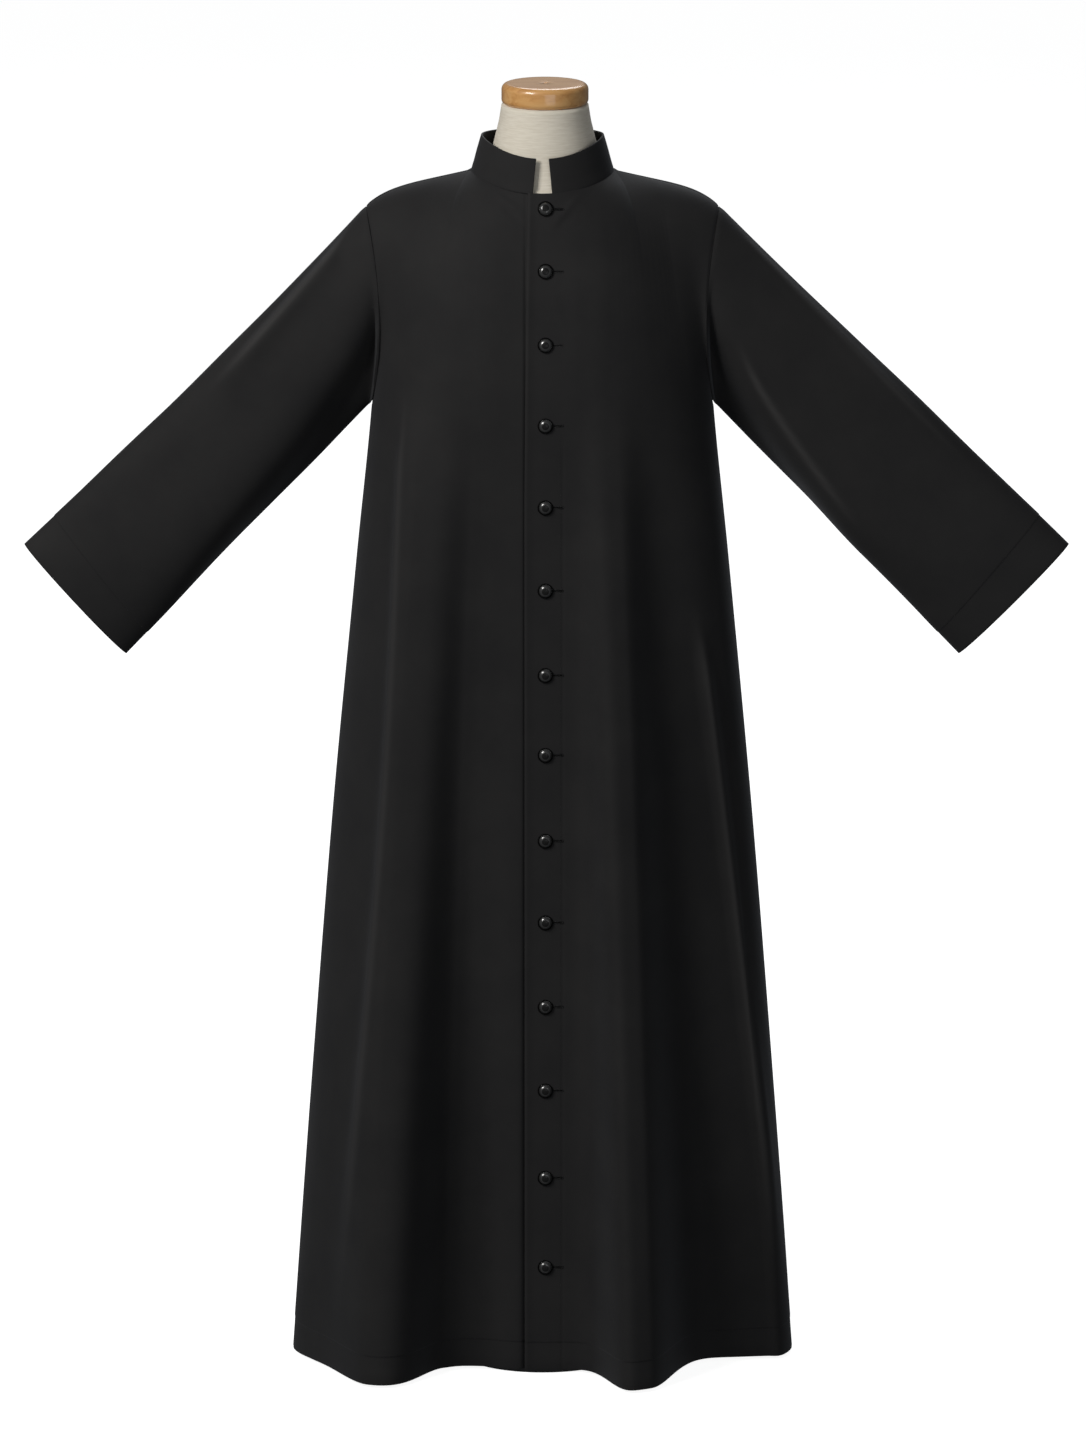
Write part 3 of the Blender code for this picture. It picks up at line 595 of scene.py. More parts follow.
def outward(function, column, row, back):
    """The outward direction of a surface function at a column and row."""
    low_row, high_row = max(row - NORMAL_STEP, 0), min(row + NORMAL_STEP, 2)
    low_column, high_column = max(column - NORMAL_STEP, -1), min(column + NORMAL_STEP, 1)
    across = function(high_column, row, back) - function(low_column, row, back)
    up = function(column, high_row, back) - function(column, low_row, back)
    normal = across.cross(up).normalized()
    return -normal if back else normal


def front_columns(row):
    """Columns of a front: two across the overlap, then even ones to the side."""
    if row <= 1:
        edge = overlap_column(row_height(0, row, False))
    else:
        edge = mix(overlap_column(row_height(0, 1, False)), NECK_OVERLAP_COLUMN, smooth(row - 1))
    return [-edge, 0.0] + [mix(edge, 1.0, k / FRONT_COLUMNS) for k in range(FRONT_COLUMNS + 1)]


def half_back_columns():
    """Columns of half the back, with one at the neck's side."""
    neck = [NECK_SHARE * k / BACK_NECK_COLUMNS for k in range(BACK_NECK_COLUMNS)]
    shoulder_columns = FRONT_COLUMNS - NECK_COLUMNS
    return neck + [mix(NECK_SHARE, 1, k / shoulder_columns) for k in range(shoulder_columns + 1)]


def yoke_rows():
    """Rows from the armpit to the shoulder, closer together towards the top."""
    return [2 - (1 - k / YOKE_ROWS) ** YOKE_CLOSENESS for k in range(YOKE_ROWS + 1)]


def pulled(edge, inner, along, distance):
    """The edge point moved into its panel, square to the edge, along being the edge's direction."""
    along = along.normalized()
    way = inner - edge
    way -= along * way.dot(along)
    return edge + way.normalized() * distance


def trimmed(edges, inners, gaps):
    """The points of a panel's edge, each moved into the panel by its share of the seam's gap."""
    last = len(edges) - 1
    moved = []
    for k, (edge, inner, gap) in enumerate(zip(edges, inners, gaps)):
        along = edges[min(k + 1, last)] - edges[max(k - 1, 0)]
        moved.append(pulled(edge, inner, along, gap / 2))
    return moved


def neck_turns():
    """Turns of the neck seam at which the fronts and the back have their points, front to back."""
    front = [c for c in front_columns(2) if 0 < c <= NECK_SHARE + TINY]
    turns = [c / NECK_SHARE * math.pi / 2 for c in front]
    back_steps = range(1, BACK_NECK_COLUMNS + 1)
    return turns + [math.pi / 2 * (1 + k / BACK_NECK_COLUMNS) for k in back_steps]


def collar_point(turn, share):
    """An outer point of the collar, turn signed for its side, share running up its height."""
    base = ring_point(NECK_SEAM, abs(turn))
    base.z += SEAM_GAP
    top = ring_point(COLLAR_TOP, abs(turn))
    point = base.lerp(top, share)
    belly = COLLAR_BELLY * math.sin(math.pi * share)
    point += Vector((math.sin(turn) if turn > 0 else -math.sin(turn), -math.cos(turn), 0)) * belly
    if turn < 0:
        point.x = -point.x
    return point


def sleeve_turns():
    """Turns about the armhole at which the body's rows end, so that the seam's two edges match."""
    front = [math.pi * (2 - row) for row in reversed(yoke_rows())]
    return front + [2 * math.pi - turn for turn in reversed(front[:-1])]


def sleeve_point(turn, share, side):
    """An outer point of a sleeve. turn is 0 at the top, rising over the front, and share runs from
    the armhole to the cuff."""
    sleeve = LEFT_SLEEVE if side == LEFT else RIGHT_SLEEVE
    back = turn > math.pi
    start = armhole_point(2 * math.pi - turn if back else turn, back)
    long_way = Vector((math.sin(sleeve.lean), 0, math.cos(sleeve.lean)))
    end = Vector((sleeve.cuff_x, CUFF_Y, sleeve.cuff_z))
    end += long_way * sleeve.half_length * math.cos(turn)
    end.y -= CUFF_HALF_DEPTH * math.sin(turn)
    point = start.lerp(end, share)
    hang = math.sin(math.pi * share)
    outward = Vector((math.cos(turn) * long_way.x, -math.sin(turn), math.cos(turn) * long_way.z))
    point += outward * SLEEVE_FOLD_DEPTH * hang * math.sin(SLEEVE_FOLDS * turn + SLEEVE_FOLD_TWIST * share)
    point -= long_way * hang * mix(sleeve.underside_sag, sleeve.top_sag, max(math.cos(turn), 0))
    mitre = ARMHOLE_SEAM_GAP / 2 + SHOULDER_MITRE * max(math.cos(turn), 0)
    along = (end - start).normalized()
    point += along * mitre * (1 - share)
    point.x *= side
    return point


def subdivided(values, steps):
    """The values with even steps between them."""
    fine = [mix(a, b, k / steps) for a, b in zip(values, values[1:]) for k in range(steps)]
    return fine + [values[-1]]


def closer_end(values, steps):
    """The values with smaller steps before the last one."""
    return values[:-2] + subdivided(values[-2:], steps)


def fine_rows():
    """Rows of a fine panel, close together at the hem's stitched line and at the top edge."""
    skirt = subdivided([k / SKIRT_ROWS for k in range(SKIRT_ROWS + 1)], SKIRT_STEPS)[:-1]
    hem = hem_row()
    side = HEM_STEP_WIDTH / 2 / (ARMPIT_Z - HEM_Z)
    extra = [hem + side * k for k in HEM_ROWS]
    skirt = sorted([row for row in skirt if abs(row - hem) > HEM_ROWS_CLEAR * side] + extra)
    return skirt + closer_end(subdivided(yoke_rows(), YOKE_STEPS), EDGE_STEPS)


def hem_row():
    """The skirt row of the hem's stitched line."""
    return HEM_DEPTH / (ARMPIT_Z - HEM_Z)


def fine_front_columns(row):
    coarse = front_columns(row)
    placket = subdivided(coarse[:3], PLACKET_STEPS)[:-1]
    near = NEAR_SPACING / section_at(row_height(0, min(row, 1), False)).half_width
    edge = [coarse[0] + near * k for k in range(NEAR_STEPS + 1)]
    facing = [coarse[2] + near * k for k in range(-NEAR_STEPS, NEAR_STEPS + 1)]
    middle = subdivided([edge[-1], facing[0]], PLACKET_STEPS)[1:-1]
    rest = subdivided([facing[-1]] + coarse[3:], COLUMN_STEPS)[1:]
    return closer_end(edge + middle + facing + rest, EDGE_STEPS)


def fine_back_columns():
    """Columns of the whole back, from the wearer's right side to the left."""
    half = closer_end(subdivided(half_back_columns(), BACK_COLUMN_STEPS), EDGE_STEPS)
    return [-column for column in reversed(half[1:])] + half


def grid_normals(points, sign, closed=False):
    """The outward direction at each point of a grid. A closed grid's last column is its first."""
    last_row, last_column = len(points) - 1, len(points[0]) - 1
    normals = []
    for r, line in enumerate(points):
        normals.append([])
        for c in range(last_column + 1):
            left, right = max(c - 1, 0), min(c + 1, last_column)
            if closed and c in (0, last_column):
                left, right = last_column - 1, 1
            across = line[right] - line[left]
            up = points[min(r + 1, last_row)][c] - points[max(r - 1, 0)][c]
            normals[-1].append(across.cross(up).normalized() * sign)
    return normals


def bell(away, width):
    """A bump of height 1 about 0."""
    return math.exp(-((away / width) ** 2))


def crease_place(crease, point):
    """How far a point of a front is from a long crease's crest, and how strong the crease is there."""
    share = (crease.top_z - point.z) / (crease.top_z - crease.low_z)
    bend = 2 * crease.middle_x - (crease.top_x + crease.low_x) / 2
    x = mix(mix(crease.top_x, bend, share), mix(bend, crease.low_x, share), share)
    top_steepness, low_steepness = CREASE_STEEPNESS
    return point.x - x, smooth(share * top_steepness) * smooth((1 - share) * low_steepness)


def crease_lift(crease, point):
    """How far a long crease lifts a point of a front."""
    away, strength = crease_place(crease, point)
    return crease.lift * strength * bell(away, crease.right_width if away < 0 else crease.left_width)


def crest_painted_highlight(crease, point):
    """How strongly a long crease's painted highlight pales its crest at a point of a front."""
    away, strength = crease_place(crease, point)
    return FRONT_CREST_HIGHLIGHT_SHARE * strength * bell(away, CREST_HIGHLIGHT_WIDTH)


def tension_lift(tension, point):
    """How far a short crease lifts a point."""
    start = Vector((tension.start_x, tension.start_z))
    run = Vector((tension.end_x, tension.end_z)) - start
    share = (Vector((point.x, point.z)) - start).dot(run) / run.length_squared
    if not 0 < share < 1:
        return 0.0
    away = (Vector((point.x, point.z)) - start - run * share).length
    return tension.lift * bell(away, tension.width) * math.sin(math.pi * share)


def wave_lift(point, seed):
    """The slow waves of cloth that hangs, long in height and short in width."""
    place = Vector((point.x * WAVE_ACROSS, point.y * WAVE_ACROSS, point.z * WAVE_DOWN + seed))
    return WAVE_LIFT * noise.noise(place)


def seam_lift(distance):
    """The roll of the cloth into a seam at this distance."""
    return -SEAM_ROLL * bell(distance, SEAM_ROLL_WIDTH)


def hem_lift(above):
    """The cloth steps in below the hem's stitched line, at this distance above it."""
    return HEM_STEP * (smooth(above / HEM_STEP_WIDTH + 0.5) - 1)


def top_lift(end, point):
    """The roll into the shoulder seam. The neck seam lies flat under the collar."""
    roll = seam_lift((end - point).length)
    return roll if abs(end.x) > NECK_SEAM.half_width else roll * NECK_ROLL


def fold_lift(distance):
    """The rounded fold of the overlap's edge at this distance from it."""
    away = distance - PLACKET_FOLD.distance
    width = PLACKET_FOLD.outer_width if away < 0 else PLACKET_FOLD.inner_width
    return PLACKET_FOLD.lift * bell(away, width)


def hollow_depth(away, height):
    """How far the lower front sinks beside the overlap's edge."""
    k = 0
    while k < len(HOLLOWS) - 2 and height > HOLLOWS[k + 1].height:
        k += 1
    low, high = HOLLOWS[k], HOLLOWS[k + 1]
    share = smooth((height - low.height) / (high.height - low.height))
    return mix(low.depth, high.depth, share) * bell(away, mix(low.width, high.width, share))


def moved_out(points, normals, lifts):
    return [
        [point + normal * lift for point, normal, lift in zip(*lines)]
        for lines in zip(points, normals, lifts)
    ]


# A fine panel: its outer points and normals, the row of its hem's stitched line, whether its faces turn the
# other way, and the painted highlights on its creases' crests
Panel = namedtuple("Panel", "points normals hem flip tones")


def nearest(rows, wanted):
    """The index of the row that lies nearest to the wanted one."""
    return min(range(len(rows)), key=lambda index: abs(rows[index] - wanted))


def fine_front(side):
    """One front with its sewing and creases."""
    rows = fine_rows()
    step = OVERLAP_STEP if side == LEFT else -OVERLAP_STEP
    points = [[surface(column * side, row) for column in fine_front_columns(row)] for row in rows]
    normals = grid_normals(points, side)
    creases = LEFT_FRONT_CREASES if side == LEFT else RIGHT_FRONT_CREASES
    # Painted highlight: how far each point's colour is paled at the crests of the creases
    tones = [[sum(crest_painted_highlight(crease, point) for crease in creases) for point in line] for line in points]
    lifts = []
    for r, row in enumerate(rows):
        lifts.append([])
        for c, point in enumerate(points[r]):
            x = point.x * side
            lift = step * (1 - smooth((x - OVERLAP_FADE[0]) / (OVERLAP_FADE[1] - OVERLAP_FADE[0])))
            lift += seam_lift((points[r][-1] - point).length) + top_lift(points[-1][c], point)
            lift += hem_lift((row - hem_row()) * (ARMPIT_Z - HEM_Z))
            lift += sum(crease_lift(crease, point) for crease in creases)
            lift += sum(tension_lift(tension, point) for tension in TENSIONS if tension.end_x * side > 0)
            lift += wave_lift(point, side) * smooth((x - OVERLAP) / OVERLAP)
            if side == RIGHT:
                lift -= hollow_depth(point.x + OVERLAP - HOLLOW_INSET, point.z)
            if side == LEFT:
                below = smooth((FACING_TOP_Z - point.z) / HEM_DEPTH)
                lift -= FACING_GROOVE * below * bell(x - FACING_X, FACING_GROOVE_WIDTH)
                lift += fold_lift((points[r][0] - point).length)
            lifts[-1].append(lift)
    points = moved_out(points, normals, lifts)
    trim_fine(points, rows, fine_front_columns(2), first_is_seam=False)
    return Panel(points, normals, nearest(rows, hem_row()), side == RIGHT, tones)


def trim_fine(points, rows, columns, first_is_seam):
    """Leaves the seams' gaps along the sides and the shoulders of a fine grid."""
    gaps = [FINE_SEAM_GAP if row <= 1 else ARMHOLE_SEAM_GAP for row in rows]
    top_gaps = [FINE_SEAM_GAP if abs(column) <= NECK_SHARE else FINE_SHOULDER_GAP for column in columns]
    top = trimmed(points[-1], points[-2], top_gaps)
    for end, inner in ((-1, -2), (0, 1)) if first_is_seam else ((-1, -2),):
        edge = trimmed([line[end] for line in points], [line[inner] for line in points], gaps)
        top[end] += edge[-1] - points[-1][end]
        for line, point in zip(points, edge):
            line[end] = point
    points[-1] = top


def fine_back():
    """The back with its sewing."""
    rows = fine_rows()
    columns = fine_back_columns()
    points = [[surface(column, row, True) for column in columns] for row in rows]
    normals = grid_normals(points, -1)
    lifts = []
    for r, row in enumerate(rows):
        lifts.append([])
        for c, point in enumerate(points[r]):
            lift = sum(seam_lift((points[r][end] - point).length) for end in (0, -1))
            lift += top_lift(points[-1][c], point) + seam_lift(point.x)
            lift += hem_lift((row - hem_row()) * (ARMPIT_Z - HEM_Z))
            lifts[-1].append(lift + wave_lift(point, 0))
    points = moved_out(points, normals, lifts)
    trim_fine(points, rows, columns, first_is_seam=True)
    return Panel(points, normals, nearest(rows, hem_row()), True, None)


def sleeve_crease_place(crease, turn, share):
    """How far a turn is from a crease's crest, and how strong the crease is there. It runs out."""
    along = (share - crease.first_share) / (crease.last_share - crease.first_share)
    if not 0 <= along < 1:
        return 0.0, 0.0
    first_steepness, last_steepness = SLEEVE_CREASE_STEEPNESS
    strength = smooth((1 - along) * last_steepness) * smooth(share / SLEEVE_SEAM_FADE)
    if crease.first_share > 0:
        strength *= smooth(along * first_steepness)
    return turn - mix(crease.first_turn, crease.last_turn, math.sqrt(along)), strength


def sleeve_crease_lift(crease, turn, share):
    """How far a crease lifts a sleeve."""
    away, strength = sleeve_crease_place(crease, turn, share)
    return crease.lift * strength * bell(away, crease.upper if away < 0 else crease.lower)


def sleeve_crest_painted_highlight(crease, turn, share):
    """How strongly a sleeve crease's painted highlight pales its crest. Folds that sink in have no painted
    highlight.
    """
    away, strength = sleeve_crease_place(crease, turn, share)
    return strength * bell(away, SLEEVE_CREST_HIGHLIGHT_WIDTH) if crease.lift > 0 else 0.0


def fine_sleeve(side):
    """One sleeve with its sewing and creases."""
    turns = subdivided(sleeve_turns(), SLEEVE_TURN_STEPS)
    shares = subdivided([k / SLEEVE_ROWS for k in range(SLEEVE_ROWS + 1)], SLEEVE_STEPS)
    length = (sleeve_point(math.pi / 2, 1, side) - sleeve_point(math.pi / 2, 0, side)).length
    hem = 1 - CUFF_HEM_DEPTH / length
    near = HEM_STEP_WIDTH / 2 / length
    shares = [share for share in shares if abs(share - hem) > HEM_ROWS_CLEAR * near and share > 0]
    shares += [hem + near * k for k in HEM_ROWS]
    shares += [SEAM_ROLL_WIDTH / length * k for k in range(EDGE_STEPS)]
    shares.sort()
    points = [[sleeve_point(turn, share, side) for turn in turns] for share in shares]
    normals = grid_normals(points, side, closed=True)
    creases = SLEEVE_CREASES[side]
    # Painted highlight: how far each point's colour is paled at the crests of the raised creases
    tones = [
        [sum(sleeve_crest_painted_highlight(crease, turn, share) for crease in creases) for turn in turns]
        for share in shares
    ]
    lifts = []
    for share, line in zip(shares, points):
        lifts.append([])
        for turn, point in zip(turns, line):
            lift = seam_lift(share * length) + hem_lift((hem - share) * length)
            lifts[-1].append(lift + wave_lift(point.yzx, side) * smooth(share / SLEEVE_WAVE_FADE))
            point.y -= sum(sleeve_crease_lift(crease, turn, share) for crease in creases)
    points = moved_out(points, normals, lifts)
    points[0] = [start.lerp(end, -SLEEVE_TUCK / (end - start).length) for start, end in zip(*points[:2])]
    normals = grid_normals(points, side, closed=True)
    return Panel(points, normals, nearest(shares, hem), side == RIGHT, tones)


def fine_collar():
    """Outer points of the collar, rounder than the solid. Its base laps over the panels' edges."""
    turns = neck_turns()
    points = []
    for share in subdivided([k / COLLAR_ROWS for k in range(COLLAR_ROWS + 1)], COLLAR_STEPS):
        half_gap = mix(COLLAR_GAP_BASE, COLLAR_GAP_TOP, share) / 2
        radius = mix(NECK_SEAM.half_width, COLLAR_TOP.half_width, share)
        first = math.asin(half_gap / radius)
        coarse = [first] + [turn for turn in turns if turn > 2 * COLLAR_FIRST_TURN + first]
        half = subdivided(coarse, COLLAR_TURN_STEPS)
        signed = half + [-turn for turn in reversed(half[:-1])]
        lap = 1 - smooth(share * COLLAR_ROWS)
        out, drop = COLLAR_LAP_OUT * lap, Vector((0, 0, COLLAR_LAP_DROP * lap))
        way = [Vector((math.sin(turn), -math.cos(turn), 0)) for turn in signed]
        points.append([collar_point(turn, share) + way[k] * out - drop for k, turn in enumerate(signed)])
    return points


def new_piece(name, mesh, material, replaced=()):
    """An object that rides with the frame and stands for the named solids."""
    obj = bpy.data.objects.new(name, mesh)
    obj.data.materials.append(material)
    bpy.context.scene.collection.objects.link(obj)
    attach(obj, "root")
    if replaced:
        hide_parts(*replaced)
    return obj


def add_grid(bm, points, tones):
    """Adds a grid to the mesh, its vertices moved onto the points, a list of rows."""
    rows, columns = len(points) - 1, len(points[0]) - 1
    # Each vertex keeps its share of the painted crest highlight
    crest = bm.verts.layers.float.new("crest") if tones else None
    made = bmesh.ops.create_grid(bm, x_segments=columns, y_segments=rows, size=1)
    for vertex in made["verts"]:
        column = round((vertex.co.x + 1) / 2 * columns)
        row = round((vertex.co.y + 1) / 2 * rows)
        vertex.co = points[row][column]
        if tones:
            vertex[crest] = tones[row][column]


def finished_mesh(name, bm, rounded=True):
    """The mesh made from a bmesh, shaded smooth where it is rounded."""
    mesh = bpy.data.meshes.new(name)
    bm.to_mesh(mesh)
    bm.free()
    if rounded:
        mesh.shade_smooth()
    return mesh


def grid_mesh(name, grids, flip=False, capped=False, tones=None):
    """A smooth mesh of one or more grids, welded where they meet."""
    bm = bmesh.new()
    for points in grids:
        add_grid(bm, points, tones)
    bmesh.ops.remove_doubles(bm, verts=bm.verts, dist=WELD)
    if capped:
        bmesh.ops.holes_fill(bm, edges=bm.edges, sides=0)
        bmesh.ops.recalc_face_normals(bm, faces=bm.faces)
    if flip:
        bmesh.ops.reverse_faces(bm, faces=bm.faces)
    return finished_mesh(name, bm)


def add_wall(obj, thickness):
    """Thickens an open surface inwards into a wall with rounded rims."""
    wall = obj.modifiers.new("Wall", "SOLIDIFY")
    wall.thickness = thickness
    wall.offset = -1
    wall.thickness_clamp = 1.0
    rim = obj.modifiers.new("Rim", "BEVEL")
    rim.width = RIM_ROUND
    rim.segments = RIM_SEGMENTS
    rim.limit_method = "ANGLE"
    rim.angle_limit = RIM_ANGLE


def cloth_panel(node, points, material, thickness, flip=False, tones=None):
    """A panel of cloth that stands for a node."""
    name = f"{node}_cloth"
    mesh = grid_mesh(name, [points], flip, tones=tones)
    add_wall(new_piece(name, mesh, material, [node]), thickness)


def resampled(line, normals, spacing):
    """Points, directions and normals at even distances along a line of points."""
    found = []
    travelled, wanted = 0.0, spacing / 2
    for start, end, normal in zip(line, line[1:], normals):
        run = (end - start).length
        while run > 0 and travelled + run >= wanted:
            share = (wanted - travelled) / run
            found.append((start.lerp(end, share), (end - start).normalized(), normal))
            wanted += spacing
        travelled += run
    return found


def add_stitch(bm, centre, along, normal, length, width):
    """One stitch: a slim closed spindle that lies on the cloth."""
    across = along.cross(normal).normalized()
    ends = [bm.verts.new(centre + along * length / 2 * end - normal * STITCH_HEIGHT / 2) for end in (-1, 1)]
    ring = [
        bm.verts.new(centre + across * width / 2 * math.cos(turn) + normal * STITCH_HEIGHT * math.sin(turn))
        for turn in (2 * math.pi * k / STITCH_SIDES for k in range(STITCH_SIDES))
    ]
    for k, vertex in enumerate(ring):
        after = ring[(k + 1) % len(ring)]
        bm.faces.new((ends[0], after, vertex))
        bm.faces.new((ends[1], vertex, after))


def stitch_piece(name, stitches, material, length, width=STITCH_WIDTH):
    """A piece of many stitches, each a centre, a direction and a normal."""
    bm = bmesh.new()
    for centre, along, normal in stitches:
        add_stitch(bm, centre, along, normal, length, width)
    bmesh.ops.recalc_face_normals(bm, faces=bm.faces)
    new_piece(name, finished_mesh(name, bm), material)


def buttonhole_frame(height):
    """Where a button sits on the left front: its place, the way across, up and out."""
    row = row_at(height)
    column = BUTTON_X / section_at(height).half_width * 2 / math.pi
    out = outward(surface, column, row, False)
    up = (surface(column, min(row + NORMAL_STEP, 2)) - surface(column, row - NORMAL_STEP)).normalized()
    return surface(column, row) + out * OVERLAP_STEP, up.cross(out).normalized(), up, out


def buttonhole_stitches():
    """Stitches side by side along each slit, and fanned round its outer end."""
    stitches = []
    length, spacing = BUTTONHOLE_STITCH
    count = round(BUTTONHOLE_LENGTH / spacing)
    for height in BUTTON_HEIGHTS:
        place, across, up, out = buttonhole_frame(height)
        for edge in (-1, 1):
            for k in range(count + 1):
                x = BUTTONHOLE_START + BUTTONHOLE_LENGTH * k / count
                centre = place + across * x + up * edge * BUTTONHOLE_HALF_WIDTH
                stitches.append((centre, up, out))
        end = place + across * (BUTTONHOLE_START + BUTTONHOLE_LENGTH)
        for k in range(1, BUTTONHOLE_END_STITCHES):
            turn = math.pi * (k / BUTTONHOLE_END_STITCHES - 0.5)
            way = across * math.cos(turn) + up * math.sin(turn)
            stitches.append((end + way * BUTTONHOLE_HALF_WIDTH, way, out))
    return stitches


def slit_piece(material):
    """The dark slits of the buttonholes, slim bars between their stitches."""
    bm = bmesh.new()
    for height in BUTTON_HEIGHTS:
        place, across, up, out = buttonhole_frame(height)
        middle = place + across * (BUTTONHOLE_START + BUTTONHOLE_LENGTH / 2)
        bar = bmesh.ops.create_cube(bm, size=1)["verts"]
        for vertex in bar:
            corner = vertex.co.copy()
            vertex.co = middle + across * corner.x * BUTTONHOLE_LENGTH
            vertex.co += up * corner.y * 2 * SLIT_HALF_WIDTH + out * corner.z * SLIT_HEIGHT
    name = "buttonhole_slits"
    new_piece(name, finished_mesh(name, bm, rounded=False), material)


def row_at(height):
    """The row at which the centre front has this height."""
    low, high = 0.0, 2.0
    for _ in range(HALVINGS):
        middle = (low + high) / 2
        if body_point(0, middle).z < height:
            low = middle
        else:
            high = middle
    return low


def turned(name, profile, steps, material, replaced=()):
    """A solid turned about Z from a profile of radius and height, given from its top down."""
    bm = bmesh.new()
    previous = None
    for radius, height in profile:
        vertex = bm.verts.new((radius, 0, height))
        if previous:
            bm.edges.new((previous, vertex))
        previous = vertex
    bmesh.ops.spin(
        bm,
        geom=bm.verts[:] + bm.edges[:],
        angle=2 * math.pi,
        steps=steps,
        axis=(0, 0, 1),
        cent=(0, 0, 0),
    )
    bmesh.ops.remove_doubles(bm, verts=bm.verts, dist=WELD)
    bmesh.ops.recalc_face_normals(bm, faces=bm.faces)
    return new_piece(name, finished_mesh(name, bm), material, replaced)


def oval_arc(centre_radius, centre_height, radius, height, start, end, steps):
    """Points of a profile on an oval arc. Turn 0 is straight up and a quarter turn is outwards."""
    points = []
    for k in range(steps + 1):
        turn = mix(start, end, k / steps)
        points.append((centre_radius + radius * math.sin(turn), centre_height + height * math.cos(turn)))
    return points


def round_arc(centre_radius, centre_height, radius, start, end, steps):
    return oval_arc(centre_radius, centre_height, radius, radius, start, end, steps)


def make_buttons(glosses):
    """Domed buttons whose glossier edge is paler for a painted reflection, and whose near-black rolled foot
    is a painted shadow ring, each square to the cloth below it.
    """
    inner, height = BUTTON_RADIUS, BUTTON_HEIGHT
    radius = inner + BUTTON_SHADOW_RIM
    rise = height - BUTTON_SHADOW_RIM_HEIGHT
    dome = oval_arc(0, BUTTON_SHADOW_RIM_HEIGHT, inner, rise, 0, math.pi / 2, BUTTON_ARC_STEPS)
    half_rim = BUTTON_SHADOW_RIM / 2
    rim = round_arc(radius - half_rim, BUTTON_SHADOW_RIM_HEIGHT, half_rim, *BUTTON_SHADOW_RIM_TURNS, BUTTON_ARC_STEPS)
    foot = [(radius * BUTTON_FOOT_SHARE, 0.0), (0.0, 0.0)]
    for number, place_height in enumerate(BUTTON_HEIGHTS, start=1):
        node = f"button_{number:02d}"
        button = turned(f"{node}_dome", dome + rim + foot, BUTTON_TURNS, glosses[0], [node])
        for gloss in glosses[1:]:
            button.data.materials.append(gloss)
        # The edge takes the paler painted reflection, the rim and foot the near-black painted shadow ring
        for face in button.data.polygons:
            out = math.hypot(face.center.x, face.center.y) / inner
            in_shadow_foot = out > 1 or face.normal.z < 0
            face.material_index = 2 if in_shadow_foot else int(out > BUTTON_CROWN_SHARE)
        place, _, _, out = buttonhole_frame(place_height)
        button.location = place + out * BUTTON_GAP
        button.rotation_mode = "QUATERNION"
        button.rotation_quaternion = out.to_track_quat("Z", "Y")


def form_columns(row, back):
    """Columns of half the form, finer than the solid's."""
    if back:
        return subdivided(half_back_columns()[::2], FORM_STEPS)
    even = front_columns(row)[2:]
    return subdivided([0.0] + even[1::2], FORM_STEPS)


def form_line(row, back):
    """Half of the form's front or back under a yoke row, from the centre to the armhole."""
    line = []
    for column in form_columns(row, back):
        ease = FORM_CHEST_EASE * (1 - smooth((row - 1) / FORM_CHEST_FADE))
        ease += OVERLAP_STEP * (1 - smooth(column / NECK_SHARE * FORM_OVERLAP_FADE))
        way = outward(body_point, column, row, back)
        point = body_point(column, row, back) - way * (WALL + FORM_CLEARANCE + ease)
        point.x -= FORM_ARMHOLE_INSET * smooth((column - FORM_INSET_START) / (1 - FORM_INSET_START))
        line.append(point)
    return line


def waist_line(form_row, back):
    """Half of the form's front or back below the armpits."""
    line = []
    for column in form_columns(1, back):
        height = mix(FORM_BOTTOM_Z, row_height(column, 1, back), form_row.share)
        point = plan_point(column, height, back)
        line.append(Vector((point.x * form_row.width, point.y * form_row.depth, height)))
    return line


def ring_of(front, back):
    """A closed ring from half a front and half a back line, mirrored."""
    half = front + list(reversed(back))
    other = [Vector((-point.x, point.y, point.z)) for point in reversed(half)]
    return half + other + [half[0]]


def neck_loop(front, back, point_at):
    """A closed ring about the neck, of a point for each column. Its turn is 0 at the front."""
    front_turns = [column / NECK_SHARE * math.pi / 2 for column in front]
    back_turns = [math.pi - column / NECK_SHARE * math.pi / 2 for column in back]
    return ring_of([point_at(turn) for turn in front_turns], [point_at(turn) for turn in back_turns])


def neck_foot_point(turn):
    """A point at the foot of the neck, just inside the collar."""
    point = ring_point(NECK_SEAM, turn)
    return Vector((point.x * NECK_FOOT_SHARE, point.y * NECK_FOOT_SHARE, point.z + NECK_FOOT_RISE))


def neck_ring(form_row, front, back):
    """A ring of the neck, with a point for each point of the neck seam."""

    def point_at(turn):
        x, y = form_row.half_width * math.sin(turn), form_row.half_depth * math.cos(turn)
        return Vector((x, NECK_Y - y, form_row.height))

    return [point + Vector((NECK_X, 0, 0)) for point in neck_loop(front, back, point_at)]


def waist_row_at(position):
    """A row between the table's waist rows, read along a smooth curve."""
    rows = WAIST_ROWS
    k = min(int(position), len(rows) - 2)
    values = []
    for column in range(len(WaistRow._fields)):
        before, low = rows[max(k - 1, 0)][column], rows[k][column]
        high, after = rows[k + 1][column], rows[min(k + 2, len(rows) - 1)][column]
        start, end = (high - before) / 2, (after - low) / 2
        values.append(hermite(low, start, high, end, position - k))
    return WaistRow(*values)


def neck_row_at(position):
    """A row between the table's neck rows."""
    k = min(int(position), len(NECK_ROWS) - 2)
    share = position - k
    return NeckRow(*(mix(a, b, share) for a, b in zip(NECK_ROWS[k], NECK_ROWS[k + 1])))


